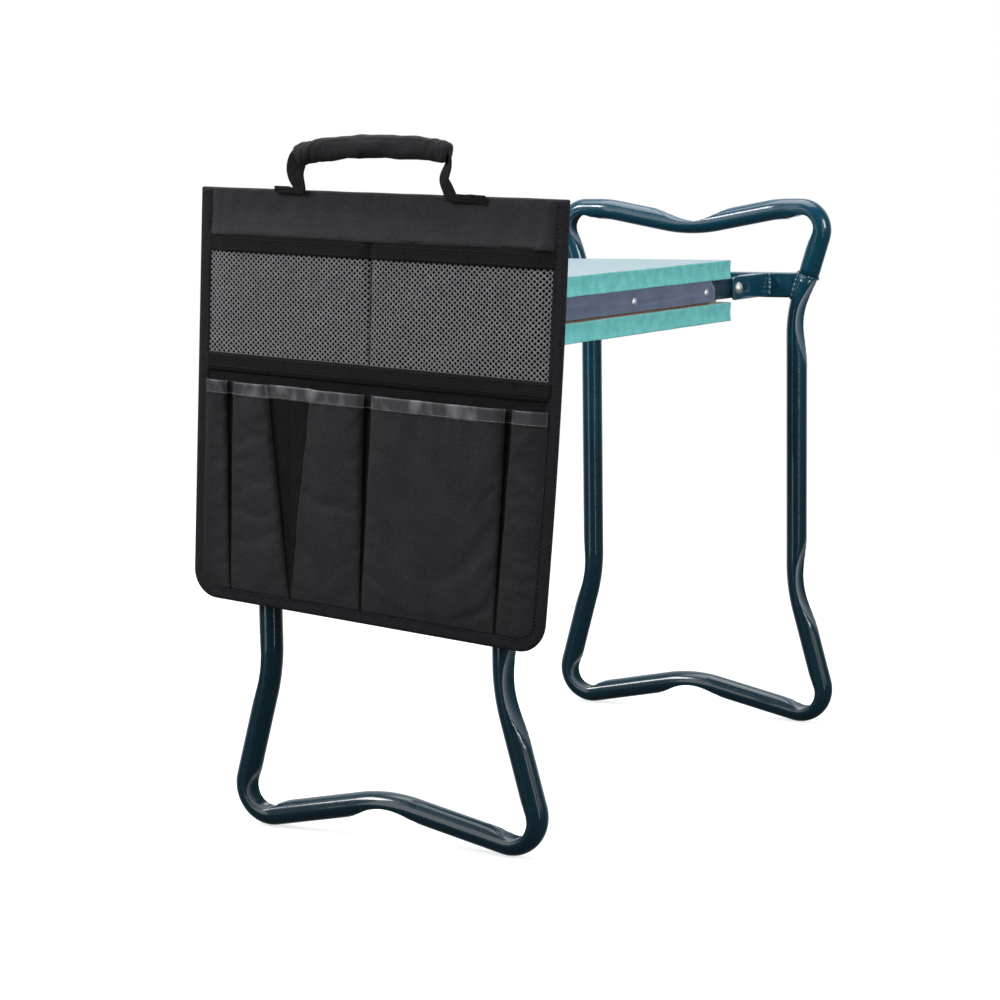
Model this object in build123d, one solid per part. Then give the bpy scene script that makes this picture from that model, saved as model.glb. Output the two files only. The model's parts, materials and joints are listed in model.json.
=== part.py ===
from build123d import *
import math
import os

# Garden kneeler seat: a foam-padded deck on two folding tube frames, with a hanging tool pouch.
# Upside down the same object is a kneeler with two hand rails.
# Millimetres. +X points to the far leg frame, -X to the near one that carries the pouch,
# +Z up. The origin is the bottom centre of the whole object's bounding box.

# ---- driving dimensions: leg frames ----
FRAME_PLANE_X = 279.0
TUBE_R = 9.5
TUBE_WALL = 1.0
LEG_Y = 107.0
KINK_Z = 129.0
FOOT_Y, FOOT_Z = 142.5, 3.0
ARCH_Z = 30.0
KINK_RADIUS, FOOT_RADIUS, ARCH_RADIUS = 120.0, 22.5, 60.0
WAIST_Z = 383.0
WAIST_RADIUS = 90.0
HANDLE_SLANT = 17.75
HANDLE_TOP_Z = 480.5
SHOULDER_Y = 88.0
DIP_Z = 463.3
CORNER_RADIUS, SHOULDER_RADIUS, DIP_RADIUS = 19.5, 110.0, 60.0
TUBE_JOINT_Z = 419.0
SLEEVE_LENGTH = 44.0
SLEEVE_CLEARANCE = 0.1
SLEEVE_WALL = 1.2
CROSSBAR_Z = 410.5
CROSSBAR_HEIGHT = 23.0
CROSSBAR_DEPTH = 12.0
CROSSBAR_WALL = 1.2
CROSSBAR_CORNER = 2.0

# ---- driving dimensions: seat deck ----
PIVOT_Z = 411.0
FAR_PIVOT_SETBACK = 72.0
NEAR_PIVOT_SETBACK = 38.5
PAD_OVERHANG = 32.5
PAD_HALF_WIDTH = 89.0
PAD_THICKNESS = 17.0
PAD_EDGE = 1.2
PAD_CORNER = 3.0
SEAT_TOP_Z = 438.0
LOWER_PAD_TOP_Z = 400.5
BOARD_THICKNESS = 2.5
BOARD_END_INSET = 2.0
BOARD_HALF_WIDTH = 85.0
BOARD_NOTCH_HALF_WIDTH = 74.5
BOARD_NOTCH_LENGTH = 36.0
RAIL_OUTER_Y = 88.0
RAIL_END_OUTER_Y = 78.0
RAIL_THICKNESS = 2.5
RAIL_BOTTOM_Z = 402.5
RAIL_TOP_Z = 421.0
JOGGLE_START, JOGGLE_END = 33.0, 12.0
RAIL_OVERHANG = 16.0
BRACE_WIDTH = 22.0
BRACE_WALL = 1.5
BRACE_END_INSET = 50.0
RIVET_SHANK_R = 2.0
RIVET_HEAD_R = 3.6
RIVET_HEAD_HEIGHT = 1.6
RIVET_TAIL_R = 2.8
RIVET_TAIL_HEIGHT = 1.2
BOARD_RIVET_Y = 52.0
BRACE_FOOT_HALF_WIDTH = 6.0

# ---- driving dimensions: ears and pivots ----
EAR_OUTER_Y = 81.0
EAR_WALL = 2.0
EAR_DEPTH = 10.0
EAR_HEIGHT = 21.0
EAR_NOSE = 11.0
EAR_NOSE_CORNER = 4.0
EAR_TOP_FLANGE_START = 20.0
EAR_STOP_FLANGE_START = 9.0
EAR_SLOT = (8.0, 23.0, 7.0)
BOLT_R = 3.0
PIVOT_CLEARANCE = 0.05
BOLT_HEAD_R = 5.6
BOLT_HEAD_HEIGHT = 3.4
BOLT_END = 1.5
AXIAL_GAP = 0.1
SPACER_THICKNESS = 0.8
SPACER_R = 7.0
NUT_WASHER_THICKNESS = 1.0
NUT_WASHER_R = 6.0
NUT_HEIGHT = 5.5
NUT_FLAT_R = 5.0

# ---- driving dimensions: pouch, measured outward from the strap axis ----
POUCH_WIDTH = 324.0
POUCH_HEIGHT = 334.0
POUCH_CENTRE_Z = 341.5
POUCH_TILT = 3.2
POUCH_CORNER = 22.0
STRAP_AXIS_Z = 477.5
STRAP_INNER_R = 11.8
STRAP_THICKNESS = 1.0
STRAP_WIDTH = 20.0
STRAP_Y = 73.0
STRAP_TAIL = 46.0
PANEL_THICKNESS = 1.0
STIFFENER_THICKNESS = 1.5
STIFFENER_INSET = 13.0
BINDING_WIDTH = 10.0
BINDING_PROUD = 0.6
PANEL_INSET = 1.0
POCKET_DEPTH = 4.6
POCKET_INSET = 0.5
HEM_GAP = 0.5
MESH_THICKNESS = 0.6
HEM_THICKNESS = 0.5
FLAP_EDGE_B = 131.0
MESH_TOP_B = 116.5
MESH_BOTTOM_B = 35.0
TOOL_POCKET_TOP_B = 12.0
RIBBON_BOTTOM_B = 1.5
MESH_DIVIDER_A = 3.5
TOOL_POCKET_SEAMS = (128.5, 70.0, 1.2, -121.0)

# ---- driving dimensions: carry handle, in the pouch's own upright frame ----
HANDLE_CENTRE_A = 2.0
WEBBING_A = 67.0
WEBBING_WIDTH = 12.0
WEBBING_THICKNESS = 2.0
WEBBING_BOTTOM_B = 168.3
FLOP_AXIS_B = 167.9
GRIP_END_B, GRIP_MIDDLE_B = 193.5, 201.0
GRIP_HALF_LENGTH = 69.0
GRIP_HEIGHT, GRIP_THICKNESS, GRIP_CORNER = 18.0, 13.0, 6.0
GRIP_DROOP = 0.4
FOOT_TAB_LENGTH, FOOT_TAB_HEIGHT = 26.0, 9.0
FOOT_TAB_PROUD = 1.5

# ---- places worked out from the above ----
slant = math.radians(HANDLE_SLANT)
joint_y = LEG_Y + (TUBE_JOINT_Z - WAIST_Z) * math.tan(slant)
far_pivot_x = FRAME_PLANE_X - FAR_PIVOT_SETBACK
near_pivot_x = -FRAME_PLANE_X + NEAR_PIVOT_SETBACK
pad_far_x = far_pivot_x - PAD_OVERHANG
pad_near_x = near_pivot_x + PAD_OVERHANG
brace_xs = {
    "near": pad_near_x + BRACE_END_INSET,
    "middle": (pad_near_x + pad_far_x) / 2,
    "far": pad_far_x - BRACE_END_INSET,
}
rail_end_inner_y = RAIL_END_OUTER_Y - RAIL_THICKNESS
upper_board_bottom = RAIL_TOP_Z - BOARD_THICKNESS
lower_board_top = LOWER_PAD_TOP_Z + BOARD_THICKNESS

# depths outward from the strap axis, one after another through the pouch
back_depth = STRAP_INNER_R + STRAP_THICKNESS
stiffener_depth = back_depth + PANEL_THICKNESS
front_depth = stiffener_depth + STIFFENER_THICKNESS
cavity_depth = front_depth + PANEL_THICKNESS
pocket_front_depth = cavity_depth + POCKET_DEPTH
pouch_front_depth = pocket_front_depth + PANEL_THICKNESS
webbing_depth = cavity_depth + WEBBING_THICKNESS / 2


def block(x0, x1, y0, y1, z0, z1):
    """A box between two corners."""
    return Pos((x0 + x1) / 2, (y0 + y1) / 2, (z0 + z1) / 2) * Box(abs(x1 - x0), abs(y1 - y0), abs(z1 - z0))


def rod(centre, axis, radius, length):
    """A cylinder centred on a point, along a direction."""
    return Plane(origin=centre, z_dir=axis) * Cylinder(radius, length)


def group(solids):
    """Separate solids kept side by side in one node."""
    return Compound([solid for shape in solids for solid in shape.solids()])


# ---------------------------------------------------------------- leg frames

def leg_path(x):
    """Centreline of the lower U, from one tube joint round the feet to the other."""
    half = [(joint_y, TUBE_JOINT_Z), (LEG_Y, WAIST_Z), (LEG_Y, KINK_Z), (FOOT_Y, FOOT_Z)]
    points = half + [(0, ARCH_Z)] + [(-y, z) for y, z in reversed(half)]
    radii = [WAIST_RADIUS, KINK_RADIUS, FOOT_RADIUS, ARCH_RADIUS, FOOT_RADIUS, KINK_RADIUS, WAIST_RADIUS]
    return FilletPolyline([(x, y, z) for y, z in points], radius=radii)


def handle_path(x):
    """Centreline of the upper U, from one tube joint over the hand rail to the other."""
    corner_y = LEG_Y + (HANDLE_TOP_Z - WAIST_Z) * math.tan(slant)
    half = [(joint_y, TUBE_JOINT_Z), (corner_y, HANDLE_TOP_Z), (SHOULDER_Y, HANDLE_TOP_Z)]
    points = half + [(0, DIP_Z)] + [(-y, z) for y, z in reversed(half)]
    radii = [CORNER_RADIUS, SHOULDER_RADIUS, DIP_RADIUS, SHOULDER_RADIUS, CORNER_RADIUS]
    return FilletPolyline([(x, y, z) for y, z in points], radius=radii)


def tube_along(path, radius, wall):
    """A round tube, open at both ends."""
    start = Plane(origin=path @ 0, z_dir=path % 0)
    section = start * (Circle(radius) - Circle(radius - wall))
    return sweep(section, path=path)


def solid_along(path, radius):
    start = Plane(origin=path @ 0, z_dir=path % 0)
    return sweep(start * Circle(radius), path=path)


def joint_sleeves(x):
    """Short inner sleeves that join the two halves of the frame on both sides."""
    outer = TUBE_R - TUBE_WALL - SLEEVE_CLEARANCE
    sleeves = []
    for side in (1, -1):
        centre = (x, side * joint_y, TUBE_JOINT_Z)
        along = (0, side * math.sin(slant), math.cos(slant))
        bore = rod(centre, along, outer - SLEEVE_WALL, SLEEVE_LENGTH)
        sleeves.append(rod(centre, along, outer, SLEEVE_LENGTH) - bore)
    return group(sleeves)


def crossbar(x):
    """Rectangular tube between the legs, its ends coped to the round tubes."""
    reach = LEG_Y + 2 * TUBE_R
    plane = Plane.XZ.offset(-reach)
    outer = RectangleRounded(CROSSBAR_DEPTH, CROSSBAR_HEIGHT, CROSSBAR_CORNER)
    hollow = Rectangle(CROSSBAR_DEPTH - 2 * CROSSBAR_WALL, CROSSBAR_HEIGHT - 2 * CROSSBAR_WALL)
    bar = extrude(plane * Pos(x, CROSSBAR_Z) * (outer - hollow), 2 * reach)
    bar = bar - solid_along(leg_path(x), TUBE_R)
    bar = bar - solid_along(handle_path(x), TUBE_R)
    return bar.solids().sort_by(lambda solid: abs(solid.center().Y))[0]


def ear(pivot_x, outward, side):
    """Channel lug welded to the crossbar. outward is +1 or -1 along X, side is +1 or -1 along Y."""
    weld_x = outward * (FRAME_PLANE_X - CROSSBAR_DEPTH / 2)
    z0, z1 = PIVOT_Z - EAR_HEIGHT / 2, PIVOT_Z + EAR_HEIGHT / 2
    outer, inner = side * EAR_OUTER_Y, side * (EAR_OUTER_Y - EAR_WALL)
    lip = side * (EAR_OUTER_Y - EAR_DEPTH)
    web = block(pivot_x - outward * EAR_NOSE, weld_x, outer, inner, z0, z1)
    nose_x = pivot_x - outward * EAR_NOSE
    nose_edges = web.edges().filter_by(Axis.Y).sort_by(lambda e: abs(e.center().X - nose_x))[:2]
    web = fillet(nose_edges, EAR_NOSE_CORNER)
    stop_flange = block(pivot_x + outward * EAR_STOP_FLANGE_START, weld_x, inner, lip, z0, z0 + EAR_WALL)
    top_flange = block(pivot_x + outward * EAR_TOP_FLANGE_START, weld_x, inner, lip, z1 - EAR_WALL, z1)
    lug = web + stop_flange + top_flange
    lug = lug - rod((pivot_x, outer, PIVOT_Z), (0, 1, 0), BOLT_R + PIVOT_CLEARANCE, 4 * EAR_WALL)
    slot_start, slot_end, slot_height = EAR_SLOT
    slot_end = min(slot_end, abs(weld_x - pivot_x) - slot_start)
    slot = block(
        pivot_x + outward * slot_start, pivot_x + outward * slot_end,
        outer + side, inner - side, PIVOT_Z - slot_height / 2, PIVOT_Z + slot_height / 2,
    )
    return lug - slot


def leg_frame(name, pivot_x, outward):
    """Every piece of one folding frame."""
    x = outward * FRAME_PLANE_X
    return {
        f"{name}_leg_tube": tube_along(leg_path(x), TUBE_R, TUBE_WALL),
        f"{name}_handle_tube": tube_along(handle_path(x), TUBE_R, TUBE_WALL),
        f"{name}_joint_sleeves": joint_sleeves(x),
        f"{name}_crossbar": crossbar(x),
        f"{name}_front_ear": ear(pivot_x, outward, -1),
        f"{name}_rear_ear": ear(pivot_x, outward, 1),
    }


# ---------------------------------------------------------------- seat deck

def foam_pad(z0):
    pad = block(pad_near_x, pad_far_x, -PAD_HALF_WIDTH, PAD_HALF_WIDTH, z0, z0 + PAD_THICKNESS)
    pad = fillet(pad.edges().filter_by(Axis.Z), PAD_CORNER)
    flat_edges = pad.faces().sort_by(Axis.Z)[0].edges() + pad.faces().sort_by(Axis.Z)[-1].edges()
    return fillet(flat_edges, PAD_EDGE)


def board_rivet_places():
    return [(x, side * BOARD_RIVET_Y) for x in brace_xs.values() for side in (1, -1)]


def deck_board(z0, head_up):
    """Hardboard sheet that a foam pad is glued to, notched round the stepped rail ends."""
    near, far = pad_near_x + BOARD_END_INSET, pad_far_x - BOARD_END_INSET
    z1 = z0 + BOARD_THICKNESS
    wide_near, wide_far = near + BOARD_NOTCH_LENGTH, far - BOARD_NOTCH_LENGTH
    board = block(wide_near, wide_far, -BOARD_HALF_WIDTH, BOARD_HALF_WIDTH, z0, z1)
    board += block(near, far, -BOARD_NOTCH_HALF_WIDTH, BOARD_NOTCH_HALF_WIDTH, z0, z1)
    head_z = z1 if head_up else z0
    for x, y in board_rivet_places():
        board -= rod((x, y, z0), (0, 0, 1), RIVET_SHANK_R, 4 * BOARD_THICKNESS)
        board -= rod((x, y, head_z), (0, 0, 1), RIVET_HEAD_R, BOARD_THICKNESS)
    return board


def rail_line(side):
    """Plan of a side rail's outer face, with the stepped-in ends."""
    near_end, far_end = near_pivot_x - RAIL_OVERHANG, far_pivot_x + RAIL_OVERHANG
    near_half = [
        (near_end, RAIL_END_OUTER_Y), (pad_near_x + JOGGLE_END, RAIL_END_OUTER_Y),
        (pad_near_x + JOGGLE_START, RAIL_OUTER_Y),
    ]
    far_half = [
        (pad_far_x - JOGGLE_START, RAIL_OUTER_Y), (pad_far_x - JOGGLE_END, RAIL_END_OUTER_Y),
        (far_end, RAIL_END_OUTER_Y),
    ]
    outer = near_half + far_half
    inner = [(x, y - RAIL_THICKNESS) for x, y in reversed(outer)]
    return [(x, side * y) for x, y in outer + inner]


def side_rail(side):
    """Flat steel bar along one side of the deck, holed for its rivets and both pivot bolts."""
    plan = Pos(0, 0, RAIL_BOTTOM_Z) * make_face(Polyline(*rail_line(side), close=True))
    rail = extrude(plan, RAIL_TOP_Z - RAIL_BOTTOM_Z)
    bore = BOLT_R + PIVOT_CLEARANCE
    for x in (near_pivot_x, far_pivot_x):
        rail -= rod((x, side * RAIL_END_OUTER_Y, PIVOT_Z), (0, 1, 0), bore, 4 * RAIL_THICKNESS)
    for x in brace_xs.values():
        rail -= rod((x, side * RAIL_OUTER_Y, PIVOT_Z), (0, 1, 0), RIVET_SHANK_R, 4 * RAIL_THICKNESS)
    return rail


def cross_brace(x):
    """Pressed channel between the rails, open below, with closed ends that take the rail rivets."""
    inner_y = RAIL_OUTER_Y - RAIL_THICKNESS
    z0, z1 = lower_board_top, upper_board_bottom
    brace = block(x - BRACE_WIDTH / 2, x + BRACE_WIDTH / 2, -inner_y, inner_y, z0, z1)
    gap_half, gap_y = BRACE_WIDTH / 2 - BRACE_WALL, inner_y - BRACE_WALL
    foot_inner, foot_outer = BOARD_RIVET_Y - BRACE_FOOT_HALF_WIDTH, BOARD_RIVET_Y + BRACE_FOOT_HALF_WIDTH
    brace -= block(x - gap_half, x + gap_half, -gap_y, gap_y, z0, z1 - BRACE_WALL)
    for side in (1, -1):
        foot_ends = (side * foot_inner, side * foot_outer)
        brace += block(x - gap_half, x + gap_half, *foot_ends, z0, z0 + BRACE_WALL)
        brace -= rod((x, side * inner_y, PIVOT_Z), (0, 1, 0), RIVET_SHANK_R, 4 * BRACE_WALL)
        brace -= rod((x, side * BOARD_RIVET_Y, (z0 + z1) / 2), (0, 0, 1), RIVET_SHANK_R, z1 - z0)
    return brace


def disc(x, y0, y1, radius):
    """A round bar along Y at the height of the pivots and rail rivets."""
    return rod((x, (y0 + y1) / 2, PIVOT_Z), (0, 1, 0), radius, abs(y1 - y0))


def rail_rivets():
    """Dome-headed rivets through each rail and brace end."""
    rivets = []
    inner_y = RAIL_OUTER_Y - RAIL_THICKNESS - BRACE_WALL
    for x in brace_xs.values():
        for side in (1, -1):
            outer_head = dome((x, side * RAIL_OUTER_Y, PIVOT_Z), side, RIVET_HEAD_R, RIVET_HEAD_HEIGHT)
            shank = disc(x, side * inner_y, side * RAIL_OUTER_Y, RIVET_SHANK_R)
            tail = disc(x, side * (inner_y - RIVET_TAIL_HEIGHT), side * inner_y, RIVET_TAIL_R)
            rivets.append(outer_head + shank + tail)
    return group(rivets)


def dome(base, side, radius, height):
    """A low dome standing on a plane across Y, its base centre at base."""
    ball_r = (radius ** 2 + height ** 2) / (2 * height)
    x, y, z = base
    ball = Pos(x, y + side * (height - ball_r), z) * Sphere(ball_r)
    keep = block(x - radius, x + radius, y, y + side * height, z - radius, z + radius)
    return ball & keep


def board_rivets():
    """Flush rivets that hold each deck board to the braces, under the foam."""
    rivets = []
    for z_head, z_tail, up in (
        (RAIL_TOP_Z, upper_board_bottom - BRACE_WALL, 1),
        (LOWER_PAD_TOP_Z, lower_board_top + BRACE_WALL, -1),
    ):
        for x, y in board_rivet_places():
            head_z = z_head - up * BOARD_THICKNESS / 4
            tail_z = z_tail - up * RIVET_TAIL_HEIGHT / 2
            head = rod((x, y, head_z), (0, 0, 1), RIVET_HEAD_R, BOARD_THICKNESS / 2)
            shank = rod((x, y, (z_head + z_tail) / 2), (0, 0, 1), RIVET_SHANK_R, abs(z_head - z_tail))
            tail = rod((x, y, tail_z), (0, 0, 1), RIVET_TAIL_R, RIVET_TAIL_HEIGHT)
            rivets.append(head + shank + tail)
    return group(rivets)


# ---------------------------------------------------------------- pivots

def pivots():
    """Bolt, spacer, washer and locknut at each of the four fold pivots."""
    bolts, spacers, washers, nuts = [], [], [], []
    head_y = EAR_OUTER_Y + AXIAL_GAP
    spacer_y = RAIL_END_OUTER_Y + SPACER_THICKNESS
    washer_y = rail_end_inner_y - NUT_WASHER_THICKNESS
    nut_y = washer_y - NUT_HEIGHT
    bore = BOLT_R + PIVOT_CLEARANCE
    hexagon = RegularPolygon(NUT_FLAT_R, 6, major_radius=False)
    for x in (near_pivot_x, far_pivot_x):
        for side in (1, -1):
            shank = disc(x, side * (nut_y - BOLT_END), side * head_y, BOLT_R)
            bolts.append(shank + dome((x, side * head_y, PIVOT_Z), side, BOLT_HEAD_R, BOLT_HEAD_HEIGHT))
            spacer = disc(x, side * RAIL_END_OUTER_Y, side * spacer_y, SPACER_R)
            spacers.append(spacer - disc(x, side * RAIL_END_OUTER_Y, side * spacer_y, bore))
            washer = disc(x, side * washer_y, side * rail_end_inner_y, NUT_WASHER_R)
            washers.append(washer - disc(x, side * washer_y, side * rail_end_inner_y, bore))
            plane = Plane(origin=(x, side * (nut_y + NUT_HEIGHT / 2), PIVOT_Z), z_dir=(0, 1, 0))
            nut = extrude(plane * hexagon, NUT_HEIGHT / 2, both=True)
            nuts.append(nut - disc(x, side * nut_y, side * washer_y, bore))
    return {
        "pivot_bolts": group(bolts),
        "pivot_spacer_washers": group(spacers),
        "pivot_nut_washers": group(washers),
        "pivot_locknuts": group(nuts),
    }


# ---------------------------------------------------------------- pouch
# The pouch is drawn upright with a across it (+Y), b up it, and depth outward from the strap axis,
# then turned by POUCH_TILT about its own centre.

def hang(shape):
    """Takes a piece from the pouch's upright frame to where it hangs."""
    return Pos(-FRAME_PLANE_X, 0, POUCH_CENTRE_Z) * Rot(POUCH_TILT, 0, 0) * shape


def slab(depth0, depth1, a0, a1, b0, b1):
    return block(-depth0, -depth1, a0, a1, b0, b1)


def pouch_outline(depth0, depth1, inset, top_b):
    """The pouch's outline, inset all round, square at the top and rounded at the bottom."""
    half, bottom = POUCH_WIDTH / 2 - inset, -POUCH_HEIGHT / 2 + inset
    plate = slab(depth0, depth1, -half, half, bottom, top_b)
    corners = plate.edges().filter_by(Axis.X).sort_by(Axis.Z)[:2]
    return fillet(corners, POUCH_CORNER - inset)


def pocket(b0, b1, front_b1, front_thickness, seams):
    """A pocket open at its top: its front sheet, and the floor, side walls and sewn seams behind it."""
    wall = PANEL_THICKNESS
    inset = BINDING_WIDTH + POCKET_INSET
    half = POUCH_WIDTH / 2 - inset
    front = pouch_outline(pocket_front_depth, pocket_front_depth + front_thickness, inset, front_b1)
    front &= slab(pocket_front_depth, pouch_front_depth, -half, half, b0, front_b1)
    outline = pouch_outline(cavity_depth, pocket_front_depth, inset, b1)
    floor_half = half - (POUCH_CORNER - inset if b0 < 0 else wall)
    walls = [slab(cavity_depth, pocket_front_depth, -floor_half, floor_half, b0, b0 + wall)]
    for centre in [-half + wall / 2, *seams, half - wall / 2]:
        low = b0 + wall if abs(centre) < floor_half else b0
        rib = slab(cavity_depth, pocket_front_depth, centre - wall / 2, centre + wall / 2, low, b1)
        walls.append(rib & outline)
    return front, group(walls), half


def hanging_strap(y):
    """Hook-and-loop strap: a loop round the hand rail and a tail sewn down the pouch's back."""
    axis_point = (-FRAME_PLANE_X, y, STRAP_AXIS_Z)
    outer = STRAP_INNER_R + STRAP_THICKNESS
    bore = rod(axis_point, (0, 1, 0), STRAP_INNER_R, STRAP_WIDTH)
    loop = rod(axis_point, (0, 1, 0), outer, STRAP_WIDTH) - bore
    x_outer = -FRAME_PLANE_X - outer
    y0, y1 = y - STRAP_WIDTH / 2, y + STRAP_WIDTH / 2
    tail = block(x_outer, x_outer + STRAP_THICKNESS, y0, y1, STRAP_AXIS_Z - STRAP_TAIL, STRAP_AXIS_Z)
    return loop + (tail - bore)


def pouch():
    half_height = POUCH_HEIGHT / 2
    panel_top = half_height - PANEL_THICKNESS
    back = pouch_outline(back_depth, stiffener_depth, PANEL_INSET, panel_top)
    front = pouch_outline(front_depth, cavity_depth, PANEL_INSET, FLAP_EDGE_B)
    half_panel = POUCH_WIDTH / 2 - PANEL_INSET
    top_band = slab(front_depth, cavity_depth, -half_panel, half_panel, FLAP_EDGE_B, half_height)
    top_band += slab(back_depth, front_depth, -half_panel, half_panel, panel_top, half_height)
    stiffener = pouch_outline(stiffener_depth, front_depth, STIFFENER_INSET, half_height - STIFFENER_INSET)

    outer = pouch_outline(back_depth - BINDING_PROUD, cavity_depth + BINDING_PROUD, 0, panel_top)
    inner = pouch_outline(0, 2 * cavity_depth, BINDING_WIDTH, half_height + BINDING_WIDTH)
    core = pouch_outline(back_depth, cavity_depth, PANEL_INSET, half_height + PANEL_INSET)
    binding = outer - inner - core

    mesh_front, mesh_walls, half_pocket = pocket(
        MESH_BOTTOM_B, FLAP_EDGE_B, MESH_TOP_B, MESH_THICKNESS, [MESH_DIVIDER_A]
    )
    tool_floor_b = -half_height + BINDING_WIDTH + POCKET_INSET
    tool_front, tool_walls, _ = pocket(
        tool_floor_b, TOOL_POCKET_TOP_B, RIBBON_BOTTOM_B, PANEL_THICKNESS, TOOL_POCKET_SEAMS
    )
    across = (-half_pocket, half_pocket)
    ribbon = slab(pocket_front_depth, pouch_front_depth, *across, RIBBON_BOTTOM_B, TOOL_POCKET_TOP_B)
    top_hem = slab(pocket_front_depth, pouch_front_depth, *across, MESH_TOP_B, FLAP_EDGE_B)
    bottom_hem = slab(
        cavity_depth, cavity_depth + HEM_THICKNESS, *across, TOOL_POCKET_TOP_B + HEM_GAP, MESH_BOTTOM_B
    )
    tabs = []
    for side in (1, -1):
        a0 = HANDLE_CENTRE_A + side * WEBBING_A
        tabs.append(slab(
            cavity_depth, cavity_depth + FOOT_TAB_PROUD, a0, a0 + side * FOOT_TAB_LENGTH,
            half_height - FOOT_TAB_HEIGHT, half_height,
        ))
    pieces = {
        "pouch_back_panel": back,
        "pouch_stiffener_board": stiffener,
        "pouch_front_panel": front,
        "pouch_top_band": top_band,
        "pouch_edge_binding": binding,
        "mesh_pocket_front": mesh_front,
        "mesh_pocket_walls": mesh_walls,
        "mesh_top_hem": top_hem,
        "mesh_bottom_hem": bottom_hem,
        "tool_pocket_front": tool_front,
        "tool_pocket_walls": tool_walls,
        "tool_pocket_ribbon": ribbon,
        "carry_handle_tabs": group(tabs),
    }
    hung = {name: hang(shape) for name, shape in pieces.items()}
    hung["rear_hanging_strap"] = hanging_strap(STRAP_Y)
    hung["front_hanging_strap"] = hanging_strap(-STRAP_Y)
    return hung


def carry_handle():
    """Webbing that runs through a padded grip and down to the pouch's top edge on both sides."""
    x = -webbing_depth
    a_left, a_right = HANDLE_CENTRE_A + WEBBING_A, HANDLE_CENTRE_A - WEBBING_A
    top = (x, HANDLE_CENTRE_A, GRIP_MIDDLE_B)
    bow = ThreePointArc((x, a_left, GRIP_END_B), top, (x, a_right, GRIP_END_B))
    left = Line((x, a_left, WEBBING_BOTTOM_B), (x, a_left, GRIP_END_B + WEBBING_WIDTH / 2))
    right = Line((x, a_right, WEBBING_BOTTOM_B), (x, a_right, GRIP_END_B + WEBBING_WIDTH / 2))
    ribbon = Rectangle(WEBBING_THICKNESS, WEBBING_WIDTH)
    webbing = ribbon_along(bow, ribbon) + ribbon_along(left, ribbon) + ribbon_along(right, ribbon)
    grip_left, grip_right = HANDLE_CENTRE_A + GRIP_HALF_LENGTH, HANDLE_CENTRE_A - GRIP_HALF_LENGTH
    grip_end_b = GRIP_END_B - GRIP_DROOP
    grip_bow = ThreePointArc((x, grip_left, grip_end_b), top, (x, grip_right, grip_end_b))
    section = RectangleRounded(GRIP_THICKNESS, GRIP_HEIGHT, GRIP_CORNER)
    grip = ribbon_along(grip_bow, section) - webbing
    return {"carry_webbing": hang(webbing), "carry_grip": hang(grip)}


def ribbon_along(path, section):
    """Sweeps a flat section along a path that stays across X, with the section's X kept along X."""
    start = Plane(origin=path @ 0, x_dir=(1, 0, 0), z_dir=path % 0)
    return sweep(start * section, path=path)


# ---------------------------------------------------------------- assembly

parts = {
    "upper_foam_pad": foam_pad(SEAT_TOP_Z - PAD_THICKNESS),
    "lower_foam_pad": foam_pad(LOWER_PAD_TOP_Z - PAD_THICKNESS),
    "upper_deck_board": deck_board(upper_board_bottom, True),
    "lower_deck_board": deck_board(LOWER_PAD_TOP_Z, False),
    "front_side_rail": side_rail(-1),
    "rear_side_rail": side_rail(1),
    "rail_rivets": rail_rivets(),
    "board_rivets": board_rivets(),
}
for place, brace_x in brace_xs.items():
    parts[f"cross_brace_{place}"] = cross_brace(brace_x)
parts.update(pivots())
parts.update(leg_frame("far", far_pivot_x, 1))
parts.update(leg_frame("near", near_pivot_x, -1))
parts.update(pouch())
parts.update(carry_handle())

boxes = [shape.bounding_box() for shape in parts.values()]
low = [min(getattr(box.min, axis) for box in boxes) for axis in "XYZ"]
high = [max(getattr(box.max, axis) for box in boxes) for axis in "XYZ"]
to_origin = Pos(-(low[0] + high[0]) / 2, -(low[1] + high[1]) / 2, -low[2])

os.makedirs("parts", exist_ok=True)
for name, shape in parts.items():
    export_step(to_origin * shape, f"parts/{name}.step")

joint_points = {
    "near_leg_fold": Pos(near_pivot_x, 0, PIVOT_Z),
    "far_leg_fold": Pos(far_pivot_x, 0, PIVOT_Z),
    "pouch_swing": Pos(-FRAME_PLANE_X, 0, STRAP_AXIS_Z),
    "carry_handle_flop": hang(Pos(-webbing_depth, HANDLE_CENTRE_A, FLOP_AXIS_B)),
}
print("size", [round(h - l, 3) for l, h in zip(low, high)])
print("origin shift", [round(v, 4) for v in to_origin.position])
for name, place in joint_points.items():
    print(name, [round(v, 4) for v in (to_origin * place).position])
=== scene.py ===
import json
import math

import bmesh
import bpy
import numpy as np
from mathutils import Matrix, Vector, noise

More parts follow.
